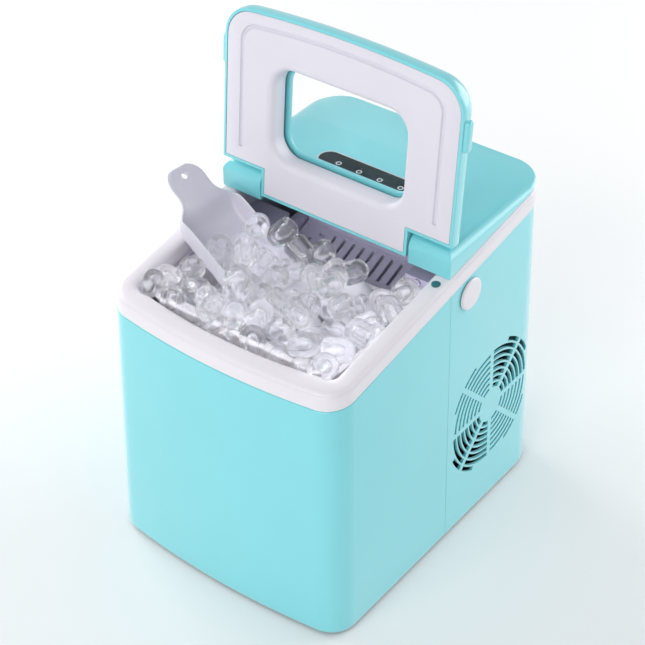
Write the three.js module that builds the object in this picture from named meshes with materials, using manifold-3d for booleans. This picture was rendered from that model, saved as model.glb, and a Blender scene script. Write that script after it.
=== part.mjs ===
// Counter-top ice maker, standing open: an insulated housing with a bullet-ice freezing unit at the back,
// a lift-out ice basket in front, a hinged lid with a clear window, and a loose ice scoop.
// Millimetres, +Z up, the front faces -Y, and the origin is on the resting plane below the middle of the housing.
import * as THREE from 'three';
import { mergeVertices } from 'three/addons/utils/BufferGeometryUtils.js';
import Module from 'manifold-3d';

const wasm = await Module();
wasm.setup();

// ---- driving dimensions -------------------------------------------------------------------------------------
const GAP = 0.3;                    // air between two pieces that touch
const WIDTH = 222;                  // housing at its upper edge
const DEPTH = 290.3;
const BOW = 9;                      // how far the front bulges forward at its middle
const FRONT_CORNER = 22.5;
const REAR_CORNER = 32;
const FLARE_X = 0.045;              // the housing widens towards its base
const FLARE_Y = 0.033;
const FLARE_HEIGHT = 230;
const WALL = 2.4;
const SHELL_BOTTOM = 3;
const SEAM_Y = 5;                   // the front shell ends here and the rear shell begins

const RIM_FRONT_Z = 223.3;          // lower edge of the top frame at the front
const RIM_SLOPE = 0.169;            // the top frame rises towards the back
const RIM_THICK = 16;
const RIM_WIDE = 16;
const OPENING_CORNER = 17;

const DECK_TOP = 289.8;
const DECK_FRONT = 3.4;             // front faces of the hinge shoulders
const DECK_MIDDLE_FRONT = 26.5;     // front edge of the deck behind the lid's tongue
const DECK_EDGE = 16;               // edge rounding of the deck and the lid
const DECK_SKIN = 3;

const HINGE_Y = 13.5;
const HINGE_Z = 278.3;
const LID_CLOSED = Math.atan(RIM_SLOPE);
const LID_TRAVEL = 104.1 * Math.PI / 180;
const LID_HALF = 109.5;
const LID_FRONT = 150;              // from the hinge axis to the front edge of the lid
const LID_BOW = 6;
const LID_CORNER = 27;
const LID_UNDER = -10.6;            // the lid's flat underside, below the hinge axis
const LID_OVER = 10.5;              // the lid's top, above the hinge axis
const LID_SKIN = 2.5;
const TONGUE_HALF = 70;             // the tongue between the two hinge shoulders
const TONGUE_BACK = -9.2;
const NOTCH = 13.4;                 // the lid's outer parts begin this far in front of the hinge axis
const WINDOW_HALF = 61.5;
const WINDOW_NEAR = 26.9;
const WINDOW_FAR = 105.9;
const WINDOW_CORNER = 18;
const PIN_RADIUS = 3;

const TANK_FLOOR = 62;
const TANK_BACK = 12;               // back wall of the water reservoir
const TANK_SHELF = 185;             // floor of the freezing chamber behind the reservoir
const TANK_CHAMBER_BACK = 106;      // leaves room for the water tray to tip backwards
const TANK_WALL = 2.4;

const BASKET_HALF = 86;
const BASKET_FRONT = -114;
const BASKET_BACK = -6;
const BASKET_FLOOR = 104;
const BASKET_TOP = 236;
const BASKET_FLANGE = 6.5;

const SCOOP_ORIGIN = [-90.5, -40.5, 257.8];
const SCOOP_TURN = -5 * Math.PI / 180;
const SCOOP_TILT = 32 * Math.PI / 180;
const SCOOP_LENGTH = 100;
const SCOOP_HALF = 30.5;
const SCOOP_DEEP = 20;
const SCOOP_HANDLE = 46;
const SCOOP_RISE = 13;              // the handle lies this far above the bowl's floor
const SCOOP_WALL = 2.2;

const FINGER_COUNT = 9;
const FINGER_PITCH = 12.6;
const FINGER_Y = 66;
const FINGER_TIP = 222;
const EVAPORATOR_Z = 250;
const TRAY_PIVOT_Y = 84;
const TRAY_PIVOT_Z = 236;
const TRAY_HALF = 62;
const TRAY_FRONT = 52;
const TRAY_BACK = 80;
const TRAY_FLOOR = 208;
const TRAY_TOP = 234;

const VENT_Y = 68.2;
const VENT_Z = 103.2;
const VENT_HUB = 16;
const VENT_PITCH = 5.7;
const FAN_RADIUS = 46;
const BLADES = 7;

const PANEL_Y = 54.5;
const PANEL_HALF = 50;
const PANEL_RADIUS = 9.5;
const RING_Y = 51.5;
const RING_PITCH = 20;

const BUMPER = { x: 103, y: -5, radius: 3.6, deep: 2.2, proud: 0.7 };
const LID_TAB = { near: 92.5, far: 118, reach: 113, root: 104, thick: 7.5, above: 1.5 };
const GROOVE = { half: 93.8, front: 139, corner: 17, wide: 2.4, deep: 1.2, near: 27.2 };
const SHOVEL = { half: 57, front: 18, back: 49, low: 214, high: 226, thick: 3 };
const BASE_LOW = 3.8;
const BASE_TOP = 6.8;
const FOOT = { x: 88, y: 112, flat: 9, radius: 10, high: 3.5 };
const SCREW = { x: 60, front: -125, rear: 128 };
const COMPRESSOR = { x: -38, y: 80, radius: 45, low: 14, high: 138 };
const CONDENSER = { near: 42, far: 60, front: 20, pitch: 16, fins: 7, low: 44, high: 156 };
const SHROUD = { inner: 70, half: 54, ring: 49.5, duct: 26, plate: 3 };
const MOTOR_RADIUS = 17;
const INLET = { x: -62, z: 32, bore: 8.4 };
const SPOUT = { x: 62, z: 32, bore: 7.4 };
const CAP = { y: 31, z: 237, radius: 13.5, thick: 2.2, post: 4, bore: 4.4 };

// ---- colours and finishes -----------------------------------------------------------------------------------
const finish = (color, roughness, metalness = 0) => ({ color, roughness, metalness });
const TURQUOISE = finish(0x8fdde6, 0.32, 0.15);
const WHITE = finish(0xece8ee, 0.38);
const LINER = finish(0xe2e0ea, 0.45);
const LAVENDER = finish(0xb9b4cc, 0.5);
const BLACK = finish(0x17171b, 0.2);
const RUBBER = finish(0x24272a, 0.9);
const STEEL = finish(0xa9adb2, 0.35, 0.9);
const COPPER = finish(0xb87333, 0.35, 0.95);
const DARK_METAL = finish(0x1d1f22, 0.5, 0.4);
const BOARD = finish(0x1f6b3a, 0.6);
const CLEAR = finish(0xdfeef2, 0.05);

// ---- solids -------------------------------------------------------------------------------------------------
function toSolid(geometry) {
  const bare = geometry.index ? geometry.toNonIndexed() : geometry.clone();
  bare.deleteAttribute('normal');
  bare.deleteAttribute('uv');
  const merged = mergeVertices(bare, 1e-4);
  const corners = merged.index.array;
  const kept = [];
  for (let i = 0; i < corners.length; i += 3) {
    const [a, b, c] = [corners[i], corners[i + 1], corners[i + 2]];
    if (a !== b && b !== c && c !== a) kept.push(a, b, c);
  }
  const points = new Float32Array(merged.attributes.position.array);
  if (signedVolume(points, kept) < 0) {
    for (let i = 0; i < kept.length; i += 3) [kept[i], kept[i + 1]] = [kept[i + 1], kept[i]];
  }
  return new wasm.Manifold(new wasm.Mesh({ numProp: 3, vertProperties: points, triVerts: new Uint32Array(kept) }));
}

function signedVolume(points, triangles) {
  const [a, b, c] = [new THREE.Vector3(), new THREE.Vector3(), new THREE.Vector3()];
  let total = 0;
  for (let i = 0; i < triangles.length; i += 3) {
    a.fromArray(points, triangles[i] * 3);
    b.fromArray(points, triangles[i + 1] * 3);
    c.fromArray(points, triangles[i + 2] * 3);
    total += a.dot(b.cross(c)) / 6;
  }
  return total;
}

function toGeometry(solid) {
  const mesh = solid.getMesh();
  const geometry = new THREE.BufferGeometry();
  geometry.setAttribute('position', new THREE.BufferAttribute(new Float32Array(mesh.vertProperties), 3));
  geometry.setIndex(new THREE.BufferAttribute(new Uint32Array(mesh.triVerts), 1));
  geometry.computeVertexNormals();
  return geometry;
}

const join = (...pieces) => pieces.map(toSolid).reduce((whole, piece) => whole.add(piece));
const cut = (solid, ...tools) => tools.map(toSolid).reduce((rest, tool) => rest.subtract(tool), solid);

function piece(name, shape, look) {
  const solid = shape.isBufferGeometry ? toSolid(shape) : shape;
  const mesh = new THREE.Mesh(toGeometry(solid), new THREE.MeshStandardMaterial(look));
  mesh.name = name;
  return mesh;
}

// ---- basic shapes -------------------------------------------------------------------------------------------
function box(low, high) {
  const size = high.map((value, i) => value - low[i]);
  const middle = high.map((value, i) => (value + low[i]) / 2);
  return new THREE.BoxGeometry(...size).translate(...middle);
}

function cylinder(axis, radius, from, to, across, sides = 24) {
  const geometry = new THREE.CylinderGeometry(radius, radius, to - from, sides);
  const middle = (from + to) / 2;
  if (axis === 'x') return geometry.rotateZ(Math.PI / 2).translate(middle, across[0], across[1]);
  if (axis === 'z') return geometry.rotateX(Math.PI / 2).translate(across[0], across[1], middle);
  return geometry.translate(across[0], middle, across[1]);
}

function prismZ(shape, bottom, top, curveSegments = 4) {
  const geometry = new THREE.ExtrudeGeometry(shape, { depth: top - bottom, bevelEnabled: false, curveSegments });
  return geometry.translate(0, 0, bottom);
}

// A shape drawn in (y, z) and extruded along x.
function prismX(shape, from, to, curveSegments = 4) {
  const geometry = new THREE.ExtrudeGeometry(shape, { depth: to - from, bevelEnabled: false, curveSegments });
  const turn = new THREE.Matrix4().makeBasis(
    new THREE.Vector3(0, 1, 0), new THREE.Vector3(0, 0, 1), new THREE.Vector3(1, 0, 0));
  return geometry.applyMatrix4(turn).translate(from, 0, 0);
}

// A shape drawn in (x, z) and extruded along y.
function prismY(shape, from, to, curveSegments = 4) {
  const geometry = new THREE.ExtrudeGeometry(shape, { depth: to - from, bevelEnabled: false, curveSegments });
  return geometry.rotateX(Math.PI / 2).translate(0, to, 0);
}

const polygon = (points) => new THREE.Shape(points.map(([a, b]) => new THREE.Vector2(a, b)));

function roundedRect(left, bottom, right, top, radius) {
  const shape = new THREE.Shape();
  shape.moveTo(right, bottom + radius);
  shape.absarc(right - radius, top - radius, radius, 0, Math.PI / 2);
  shape.absarc(left + radius, top - radius, radius, Math.PI / 2, Math.PI);
  shape.absarc(left + radius, bottom + radius, radius, Math.PI, Math.PI * 1.5);
  shape.absarc(right - radius, bottom + radius, radius, Math.PI * 1.5, Math.PI * 2);
  return shape;
}

function tube(points, radius, steps = 30) {
  const section = new THREE.Shape();
  section.absarc(0, 0, radius, 0, Math.PI * 2);
  const path = new THREE.CatmullRomCurve3(points.map((point) => new THREE.Vector3(...point)));
  return new THREE.ExtrudeGeometry(section, { steps, extrudePath: path, curveSegments: 3, bevelEnabled: false });
}

// A profile of (radius, height) turned about the z axis and moved to its place.
function turned(profile, place, sides = 28) {
  const points = profile.map(([radius, height]) => new THREE.Vector2(radius, height));
  return new THREE.LatheGeometry(points, sides).rotateX(Math.PI / 2).translate(...place);
}

// ---- housing outline ----------------------------------------------------------------------------------------
// Plan of the housing, moved inwards by an inset: straight sides, a bowed front and four round corners.
function footprint(inset, frontRadius = FRONT_CORNER - inset, rearRadius = REAR_CORNER - inset) {
  const half = WIDTH / 2 - inset;
  const front = -DEPTH / 2 + inset;
  const rear = DEPTH / 2 - inset;
  return bowedOutline(half, front, rear, BOW, frontRadius, rearRadius);
}

function bowedOutline(half, front, rear, bow, frontRadius, rearRadius) {
  const bowRadius = (half * half + bow * bow) / (2 * bow);
  const bowCentre = front + bowRadius;
  const cornerX = half - frontRadius;
  const cornerY = bowCentre - Math.sqrt((bowRadius - frontRadius) ** 2 - cornerX ** 2);
  const meet = Math.atan2(cornerY - bowCentre, cornerX);
  const shape = new THREE.Shape();
  shape.moveTo(half, cornerY);
  shape.absarc(half - rearRadius, rear - rearRadius, rearRadius, 0, Math.PI / 2);
  shape.absarc(-half + rearRadius, rear - rearRadius, rearRadius, Math.PI / 2, Math.PI);
  shape.absarc(-cornerX, cornerY, frontRadius, Math.PI, Math.PI - meet);
  shape.absarc(0, bowCentre, bowRadius, Math.PI - meet, Math.PI * 2 + meet);
  shape.absarc(cornerX, cornerY, frontRadius, Math.PI * 2 + meet, Math.PI * 2);
  return shape;
}

// Height of a plane parallel to the top frame, a given thickness above its lower edge.
const rimZ = (y, above = 0) => RIM_FRONT_Z + above + RIM_SLOPE * (y + DEPTH / 2);

function moveVertices(geometry, mapping) {
  const place = geometry.attributes.position;
  for (let i = 0; i < place.count; i += 1) {
    place.setXYZ(i, ...mapping(place.getX(i), place.getY(i), place.getZ(i)));
  }
  return geometry;
}

const flare = (geometry) => moveVertices(geometry, (x, y, z) => {
  const low = 1 - z / FLARE_HEIGHT;
  return [x * (1 + FLARE_X * low), y * (1 + FLARE_Y * low), z];
});

const sideFace = (z) => WIDTH / 2 * (1 + FLARE_X * (1 - z / FLARE_HEIGHT));
const rearFace = (z) => DEPTH / 2 * (1 + FLARE_Y * (1 - z / FLARE_HEIGHT));

// Everything above a plane parallel to the top frame, as a cutting tool.
function aboveRim(offset, reach = 400) {
  const [front, rear] = [-reach, reach];
  return prismX(polygon([[front, rimZ(front, offset)], [rear, rimZ(rear, offset)], [rear, 900], [front, 900]]),
    -reach, reach);
}

// ---- housing ------------------------------------------------------------------------------------------------
function shellWall(top) {
  const wall = footprint(0);
  wall.holes.push(footprint(WALL));
  return toSolid(flare(prismZ(wall, SHELL_BOTTOM, top)));
}

function frontShell() {
  const behind = box([-300, SEAM_Y - GAP / 2, -10], [300, 300, 400]);
  return piece('front_shell', cut(shellWall(290), aboveRim(-GAP), behind), TURQUOISE);
}

function arcSlot(from, to, inner, outer) {
  const slot = new THREE.Shape();
  slot.absarc(0, 0, outer, from, to, false);
  slot.absarc(0, 0, inner, to, from, true);
  return slot;
}

// Round fan grille: rings of arc slots in eight sectors. Two opposite quarters are wide open, the others narrow.
function ventSlots() {
  const slots = [];
  for (let sector = 0; sector < 8; sector += 1) {
    const open = Math.floor(sector / 2) % 2 === 0;
    for (let ring = 0; ring < 7; ring += 1) {
      const inner = VENT_HUB + ring * VENT_PITCH;
      const thick = open ? 4 : 2;
      const margin = 2.2 / inner;
      const start = sector * Math.PI / 4 + margin;
      const end = (sector + 1) * Math.PI / 4 - margin;
      slots.push(arcSlot(start, end, inner, inner + thick));
    }
  }
  for (let quarter = 0; quarter < 4; quarter += 1) {
    const middle = (quarter + 0.5) * Math.PI / 2;
    const inner = VENT_HUB + 7 * VENT_PITCH;
    const thick = quarter % 2 === 0 ? 4 : 2;
    slots.push(arcSlot(middle + 0.04, middle + 0.36, inner, inner + thick));
    slots.push(arcSlot(middle - 0.36, middle - 0.04, inner, inner + thick));
  }
  return slots;
}

function louvres(count, pitch, half, thick) {
  const slots = [];
  for (let i = 0; i < count; i += 1) {
    const middle = (i - (count - 1) / 2) * pitch;
    slots.push(polygon([[-half, middle - thick / 2], [half, middle - thick / 2],
      [half, middle + thick / 2], [-half, middle + thick / 2]]));
  }
  return slots;
}

function rearShell() {
  const ahead = box([-300, -300, -10], [300, SEAM_Y + GAP / 2, 400]);
  const vent = prismX(ventSlots(), 95, 130, 1).translate(0, VENT_Y, VENT_Z);
  const leftInlet = prismX(louvres(10, 9, 34, 4), -130, -95, 1).translate(0, VENT_Y, VENT_Z);
  const backInlet = prismY(louvres(12, 9, 60, 4), 130, 170, 1).translate(0, 0, 130);
  const inletHole = cylinder('y', INLET.bore, 130, 170, [INLET.x, INLET.z]);
  const spoutHole = cylinder('y', SPOUT.bore, 130, 170, [SPOUT.x, SPOUT.z]);
  const solid = cut(shellWall(300), aboveRim(-GAP), ahead, vent, leftInlet, backInlet, inletHole, spoutHole,
    cylinder('x', CAP.bore, -130, 130, [CAP.y, CAP.z]));
  return piece('rear_shell', solid, TURQUOISE);
}

function topFrame() {
  const ring = footprint(0);
  ring.holes.push(footprint(RIM_WIDE, OPENING_CORNER, OPENING_CORNER));
  const flat = new THREE.ExtrudeGeometry(ring, {
    depth: RIM_THICK - 5, bevelThickness: 2.5, bevelSize: 2.5, bevelOffset: -2.5, bevelSegments: 1, curveSegments: 4,
  });
  const sloped = moveVertices(flat.translate(0, 0, 2.5), (x, y, z) => [x, y, rimZ(y, z)]);
  const pockets = [-1, 1].map((side) => cylinder('z', BUMPER.radius + GAP,
    rimZ(BUMPER.y, RIM_THICK - BUMPER.deep), 300, [side * BUMPER.x, BUMPER.y], 16));
  return piece('top_frame', cut(toSolid(sloped), ...pockets), WHITE);
}

function bumper(side) {
  const low = rimZ(BUMPER.y, RIM_THICK - BUMPER.deep) + GAP;
  const high = rimZ(BUMPER.y, RIM_THICK + BUMPER.proud);
  const name = side > 0 ? 'lid_bumper_right' : 'lid_bumper_left';
  return piece(name, cylinder('z', BUMPER.radius, low, high, [side * BUMPER.x, BUMPER.y], 16), RUBBER);
}

// The tank is the front of the housing's outline moved inwards, with a deep reservoir in front and a shallower
// freezing chamber behind it, so its side profile is an L upside down.
function tankProfile(wall) {
  const top = 300;
  return polygon([[-200, TANK_FLOOR + wall], [TANK_BACK - wall, TANK_FLOOR + wall],
    [TANK_BACK - wall, TANK_SHELF + wall], [TANK_CHAMBER_BACK - wall, TANK_SHELF + wall],
    [TANK_CHAMBER_BACK - wall, top], [-200, top]]);
}

function innerTank() {
  const outer = toSolid(prismZ(footprint(RIM_WIDE - TANK_WALL, OPENING_CORNER + TANK_WALL, 20), 50, 300));
  const inner = toSolid(prismZ(footprint(RIM_WIDE, OPENING_CORNER, 18), 50, 300));
  const body = outer.intersect(toSolid(prismX(tankProfile(0), -200, 200)));
  const hollow = inner.intersect(toSolid(prismX(tankProfile(TANK_WALL), -200, 200)));
  const ledges = [-1, 1].map((side) => {
    const [near, far] = [BASKET_HALF + 3, WIDTH / 2 - RIM_WIDE + 1].map((x) => x * side).sort((a, b) => a - b);
    return toSolid(box([near, -100, BASKET_TOP - 10], [far, -20, BASKET_TOP - 2.4 - GAP]));
  });
  const open = ledges.reduce((whole, ledge) => whole.add(ledge), body.subtract(hollow));
  return piece('inner_tank', cut(open, aboveRim(-GAP)), LINER);
}

// ---- rear deck ----------------------------------------------------------------------------------------------
// A slab whose upper edge is rounded. Its flat underside is at z = 0 and its top at z = height.
function domedSlab(shape, height, rounding, curveSegments = 4) {
  const slab = new THREE.ExtrudeGeometry(shape, {
    depth: 20, bevelThickness: rounding, bevelSize: rounding, bevelOffset: -rounding, bevelSegments: 3, curveSegments,
  }).translate(0, 0, height - rounding - 20);
  return toSolid(slab).subtract(toSolid(box([-400, -400, -200], [400, 400, 0])));
}

function rearDeck() {
  const nominal = 25;
  const slab = toGeometry(domedSlab(footprint(1.2), nominal, DECK_EDGE));
  const base = RIM_THICK + GAP;
  const shaped = moveVertices(slab, (x, y, z) => {
    const low = rimZ(y, base);
    return [x, y, low + z / nominal * (DECK_TOP - low)];
  });
  const hollow = toSolid(prismZ(footprint(DECK_EDGE), 200, DECK_TOP - DECK_SKIN));
  const hollowZone = toSolid(box([-200, DECK_MIDDLE_FRONT + DECK_SKIN, 100], [200, 108, 400]));
  const ahead = box([-300, -300, 100], [300, DECK_FRONT, 400]);
  const middle = box([-TONGUE_HALF - 1.5, -300, 100], [TONGUE_HALF + 1.5, DECK_MIDDLE_FRONT, 400]);
  const chamfer = prismX(polygon([[2.6, 285], [8.2, 290.4], [2.6, 290.4]]), -200, 200);
  const pins = cylinder('x', PIN_RADIUS + GAP, -84, 84, [HINGE_Y, HINGE_Z]);
  const pocket = roundedRect(-PANEL_HALF - GAP, PANEL_Y - PANEL_RADIUS - GAP, PANEL_HALF + GAP,
    PANEL_Y + PANEL_RADIUS + GAP, PANEL_RADIUS + GAP - 0.01);
  const solid = cut(toSolid(shaped).subtract(hollow.intersect(hollowZone)), ahead, middle, chamfer, pins,
    prismZ(pocket, DECK_TOP - 1.4, 300), ...ringPlaces().map(([x, y]) => cylinder('z', 4, 200, 300, [x, y], 16)));
  return piece('rear_deck', solid, TURQUOISE);
}

const ringPlaces = () => [-1.5, -0.5, 0.5, 1.5].map((step) => [step * RING_PITCH, RING_Y]);

function controlPanel() {
  const face = roundedRect(-PANEL_HALF, PANEL_Y - PANEL_RADIUS, PANEL_HALF, PANEL_Y + PANEL_RADIUS,
    PANEL_RADIUS - 0.01);
  const holes = ringPlaces().map(([x, y]) => cylinder('z', 3.5, 200, 300, [x, y], 16));
  return piece('control_panel', cut(toSolid(prismZ(face, DECK_TOP - 1.1, DECK_TOP + 0.5)), ...holes), BLACK);
}

function panelStud(name, index, look, proud) {
  const [x, y] = ringPlaces()[index];
  return piece(name, cylinder('z', 3.1, DECK_TOP - 6, DECK_TOP + proud, [x, y], 16), look);
}

// ---- lid, drawn in its own frame: x across, y towards the back from the hinge axis, z up when closed ----------
function lidOutline(half, front, corner) {
  return bowedOutline(half, -front, 60, LID_BOW, corner, 18);
}

function domedLid(inset, top) {
  const outline = lidOutline(LID_HALF - inset, LID_FRONT - inset, LID_CORNER - inset);
  return domedSlab(outline, top - LID_UNDER, DECK_EDGE - inset).translate([0, 0, LID_UNDER]);
}

const windowShape = (grow) => roundedRect(-WINDOW_HALF - grow, -WINDOW_FAR - grow, WINDOW_HALF + grow,
  -WINDOW_NEAR + grow, WINDOW_CORNER + grow);

function lidShell() {
  const wings = [-1, 1].map((side) => {
    const [low, high] = side > 0 ? [TONGUE_HALF, 200] : [-200, -TONGUE_HALF];
    return box([low, -NOTCH, -50], [high, 100, 50]);
  });
  const tongueEnd = box([-200, 0, -50], [200, 100, 50]);
  const barrel = cylinder('x', LID_OVER, -TONGUE_HALF, TONGUE_HALF, [0, 0], 32);
  const lip = box([-TONGUE_HALF, -1, LID_UNDER], [TONGUE_HALF, -TONGUE_BACK, -3]);
  const slab = cut(domedLid(0, LID_OVER), tongueEnd).add(join(barrel, lip));
  const inside = domedLid(LID_SKIN, LID_OVER - LID_SKIN).subtract(toSolid(
    box([-200, -NOTCH - LID_SKIN, -50], [200, 100, 50])));
  const under = box([-LID_HALF + LID_SKIN, -LID_FRONT + 30, -30], [LID_HALF - LID_SKIN, -NOTCH - LID_SKIN, -9]);
  const tongueInside = box([-TONGUE_HALF + LID_SKIN, -NOTCH - LID_SKIN - 1, -30],
    [TONGUE_HALF - LID_SKIN, -TONGUE_BACK - LID_SKIN, 4]);
  const tabs = [-1, 1].map((side) => {
    const low = LID_UNDER + LID_TAB.above;
    const tab = roundedRect(-LID_TAB.far, low, -LID_TAB.near, low + LID_TAB.thick, 3);
    const [from, to] = [side * LID_TAB.root, side * LID_TAB.reach].sort((a, b) => a - b);
    return toSolid(prismX(tab, from, to));
  });
  const pins = cylinder('x', PIN_RADIUS + GAP, -200, 200, [0, 0]);
  const hollow = inside.add(join(under, tongueInside));
  const tabbed = cut(slab, ...wings).add(tabs[0]).add(tabs[1]).subtract(hollow);
  const opening = prismZ(windowShape(-2), -50, 50);
  return piece('lid_shell', cut(tabbed, pins, opening), TURQUOISE);
}

function lidLiner() {
  const inset = LID_SKIN + GAP;
  const plate = lidOutline(LID_HALF - inset, LID_FRONT - inset, LID_CORNER - inset);
  const back = NOTCH + LID_SKIN + GAP;
  const wings = [-1, 1].map((side) => {
    const reach = TONGUE_HALF - inset;
    return side > 0 ? box([reach, -back, -50], [200, 100, 50]) : box([-200, -back, -50], [-reach, 100, 50]);
  });
  const end = box([-200, -TONGUE_BACK - inset, -50], [200, 100, 50]);
  const face = cut(toSolid(prismZ(plate, LID_UNDER, LID_UNDER + 2.2)), ...wings, end);
  const collar = toSolid(prismZ(windowShape(2), LID_UNDER, 5.2));
  const { half, front, corner, wide } = GROOVE;
  const groove = bowedOutline(half, -front, 60, LID_BOW, corner, 18);
  groove.holes.push(bowedOutline(half - wide, -front + wide, 60 - wide, LID_BOW, corner - wide, 18 - wide));
  const grooveZone = toSolid(box([-200, -200, -50], [200, -GROOVE.near, 50]));
  const channel = toSolid(prismZ(groove, -50, LID_UNDER + GROOVE.deep)).intersect(grooveZone);
  const solid = cut(face.subtract(channel).add(collar), prismZ(windowShape(0), -50, 50));
  return piece('lid_liner', solid, LINER);
}

function lidWindow() {
  return piece('lid_window', prismZ(windowShape(4.5), 5.2 + GAP, LID_OVER - LID_SKIN - GAP), CLEAR);
}

function hingePin(side) {
  const [low, high] = [side * 56, side * 82].sort((a, b) => a - b);
  return piece(side > 0 ? 'hinge_pin_right' : 'hinge_pin_left',
    cylinder('x', PIN_RADIUS, low, high, [0, 0], 16), STEEL);
}

function lid() {
  const group = new THREE.Group();
  group.position.set(0, HINGE_Y, HINGE_Z);
  group.rotation.x = LID_CLOSED - LID_TRAVEL;
  group.add(lidShell(), lidLiner(), lidWindow(), hingePin(-1), hingePin(1));
  return group;
}

// ---- ice basket and scoop -----------------------------------------------------------------------------------
function iceBasket() {
  const outline = (inset) => roundedRect(-BASKET_HALF + inset, BASKET_FRONT + inset, BASKET_HALF - inset,
    BASKET_BACK - inset, 12 - inset);
  const middleY = (BASKET_FRONT + BASKET_BACK) / 2;
  const taper = (geometry) => moveVertices(geometry, (x, y, z) => {
    const scale = 1 - 0.05 * (BASKET_TOP - z) / (BASKET_TOP - BASKET_FLOOR);
    return [x * scale, middleY + (y - middleY) * scale, z];
  });
  const outer = toSolid(taper(prismZ(outline(0), BASKET_FLOOR, BASKET_TOP)));
  const inner = taper(prismZ(outline(2.2), BASKET_FLOOR + 2.2, BASKET_TOP + 10));
  const lip = toSolid(prismZ(outline(-2.6), BASKET_TOP - 2.4, BASKET_TOP));
  const reach = BASKET_HALF + BASKET_FLANGE;
  const ears = toSolid(box([-reach, -94, BASKET_TOP - 2.4], [reach, -26, BASKET_TOP]));
  const drains = prismX(louvres(3, 22, 5, 2.6), -120, 120, 1);
  const floorDrains = [-60, -36, -12, 12, 36, 60].map((x) => box([x - 1.5, -95, 90], [x + 1.5, -25, 120]));
  const sideDrains = [-86, -60, -34].map((y) => drains.clone().translate(0, y, 150));
  return piece('ice_basket', cut(outer.add(lip).add(ears), inner, ...floorDrains, ...sideDrains), WHITE);
}

// The scoop in its own frame: x from the back of the bowl towards the mouth, y across, z up out of the bowl.
function iceScoop() {
  const thick = SCOOP_WALL;
  const rise = SCOOP_RISE;
  const strip = polygon([[SCOOP_LENGTH, 0], [SCOOP_LENGTH, 1], [SCOOP_LENGTH - 4, thick], [1, thick],
    [-13, rise + thick], [-SCOOP_HANDLE, rise + thick + 3], [-SCOOP_HANDLE, rise + 3], [-13.5, rise], [-1, 0]]);
  const plan = new THREE.Shape();
  plan.moveTo(SCOOP_LENGTH, -SCOOP_HALF);
  plan.lineTo(SCOOP_LENGTH, SCOOP_HALF);
  plan.lineTo(-2, SCOOP_HALF);
  plan.bezierCurveTo(-12, SCOOP_HALF, -12, 18, -20, 15);
  plan.lineTo(-SCOOP_HANDLE + 14, 14);
  plan.absarc(-SCOOP_HANDLE + 14, 0, 14, Math.PI / 2, Math.PI * 1.5);
  plan.lineTo(-20, -15);
  plan.bezierCurveTo(-12, -18, -12, -SCOOP_HALF, -2, -SCOOP_HALF);
  const sheet = toSolid(prismY(strip, -40, 40)).intersect(toSolid(prismZ(plan, -10, 40)));
  const side = polygon([[-4, 0.2], [SCOOP_LENGTH - 2, 0.2], [SCOOP_LENGTH - 4, 5], [SCOOP_LENGTH - 30, SCOOP_DEEP],
    [2, SCOOP_DEEP], [-4, rise + 2]]);
  const walls = [prismY(side, -SCOOP_HALF, -SCOOP_HALF + thick), prismY(side, SCOOP_HALF - thick, SCOOP_HALF)];
  const heel = prismX(polygon([[-SCOOP_HALF, 0.2], [SCOOP_HALF, 0.2], [SCOOP_HALF, rise + 2],
    [-SCOOP_HALF, rise + 2]]), -4, -1.8);
  const hole = cylinder('z', 2.8, -10, 40, [-SCOOP_HANDLE + 8, 0], 16);
  return piece('ice_scoop', cut(sheet.add(join(...walls, heel)), hole), WHITE);
}

function scoopInPlace() {
  const turn = new THREE.Group();
  turn.position.set(...SCOOP_ORIGIN);
  turn.rotation.z = SCOOP_TURN;
  const tilt = new THREE.Group();
  tilt.rotation.y = SCOOP_TILT;
  tilt.add(iceScoop());
  turn.add(tilt);
  return turn;
}

// ---- freezing unit ------------------------------------------------------------------------------------------
const fingerX = (index) => (index - (FINGER_COUNT - 1) / 2) * FINGER_PITCH;

function evaporator() {
  const bar = cylinder('x', 5, -70, 70, [FINGER_Y, EVAPORATOR_Z], 12);
  const fingers = [];
  for (let i = 0; i < FINGER_COUNT; i += 1) {
    fingers.push(turned([[0, FINGER_TIP], [2.6, FINGER_TIP + 0.8], [4.2, FINGER_TIP + 4], [4.4, EVAPORATOR_Z],
      [0, EVAPORATOR_Z]], [fingerX(i), FINGER_Y, 0], 8));
  }
  return piece('evaporator', join(bar, ...fingers), STEEL);
}

function waterTray() {
  const outer = box([-TRAY_HALF, TRAY_FRONT, TRAY_FLOOR], [TRAY_HALF, TRAY_BACK, TRAY_TOP]);
  const inner = box([-TRAY_HALF + 2, TRAY_FRONT + 2, TRAY_FLOOR + 2], [TRAY_HALF - 2, TRAY_BACK - 2, 300]);
  const arms = [-1, 1].map((side) => {
    const [low, high] = [side * (TRAY_HALF - 2), side * TRAY_HALF].sort((a, b) => a - b);
    return toSolid(box([low, TRAY_BACK - 4, TRAY_PIVOT_Z - 8], [high, TRAY_PIVOT_Y + 4, TRAY_PIVOT_Z + 4]));
  });
  const shafts = [-1, 1].map((side) => {
    const [low, high] = [side * (TRAY_HALF - 1), side * 76].sort((a, b) => a - b);
    return toSolid(cylinder('x', 3, low, high, [TRAY_PIVOT_Y, TRAY_PIVOT_Z], 16));
  });
  const trough = cut(toSolid(outer), inner);
  return piece('water_tray', [...arms, ...shafts].reduce((whole, part) => whole.add(part), trough), WHITE);
}

function trayMount(name, low, high, look) {
  const block = box([low, 75, 222], [high, TANK_CHAMBER_BACK - TANK_WALL - GAP, 250]);
  const hole = cylinder('x', 3 + GAP, -77, 77, [TRAY_PIVOT_Y, TRAY_PIVOT_Z], 16);
  return piece(name, cut(toSolid(block), hole), look);
}

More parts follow.
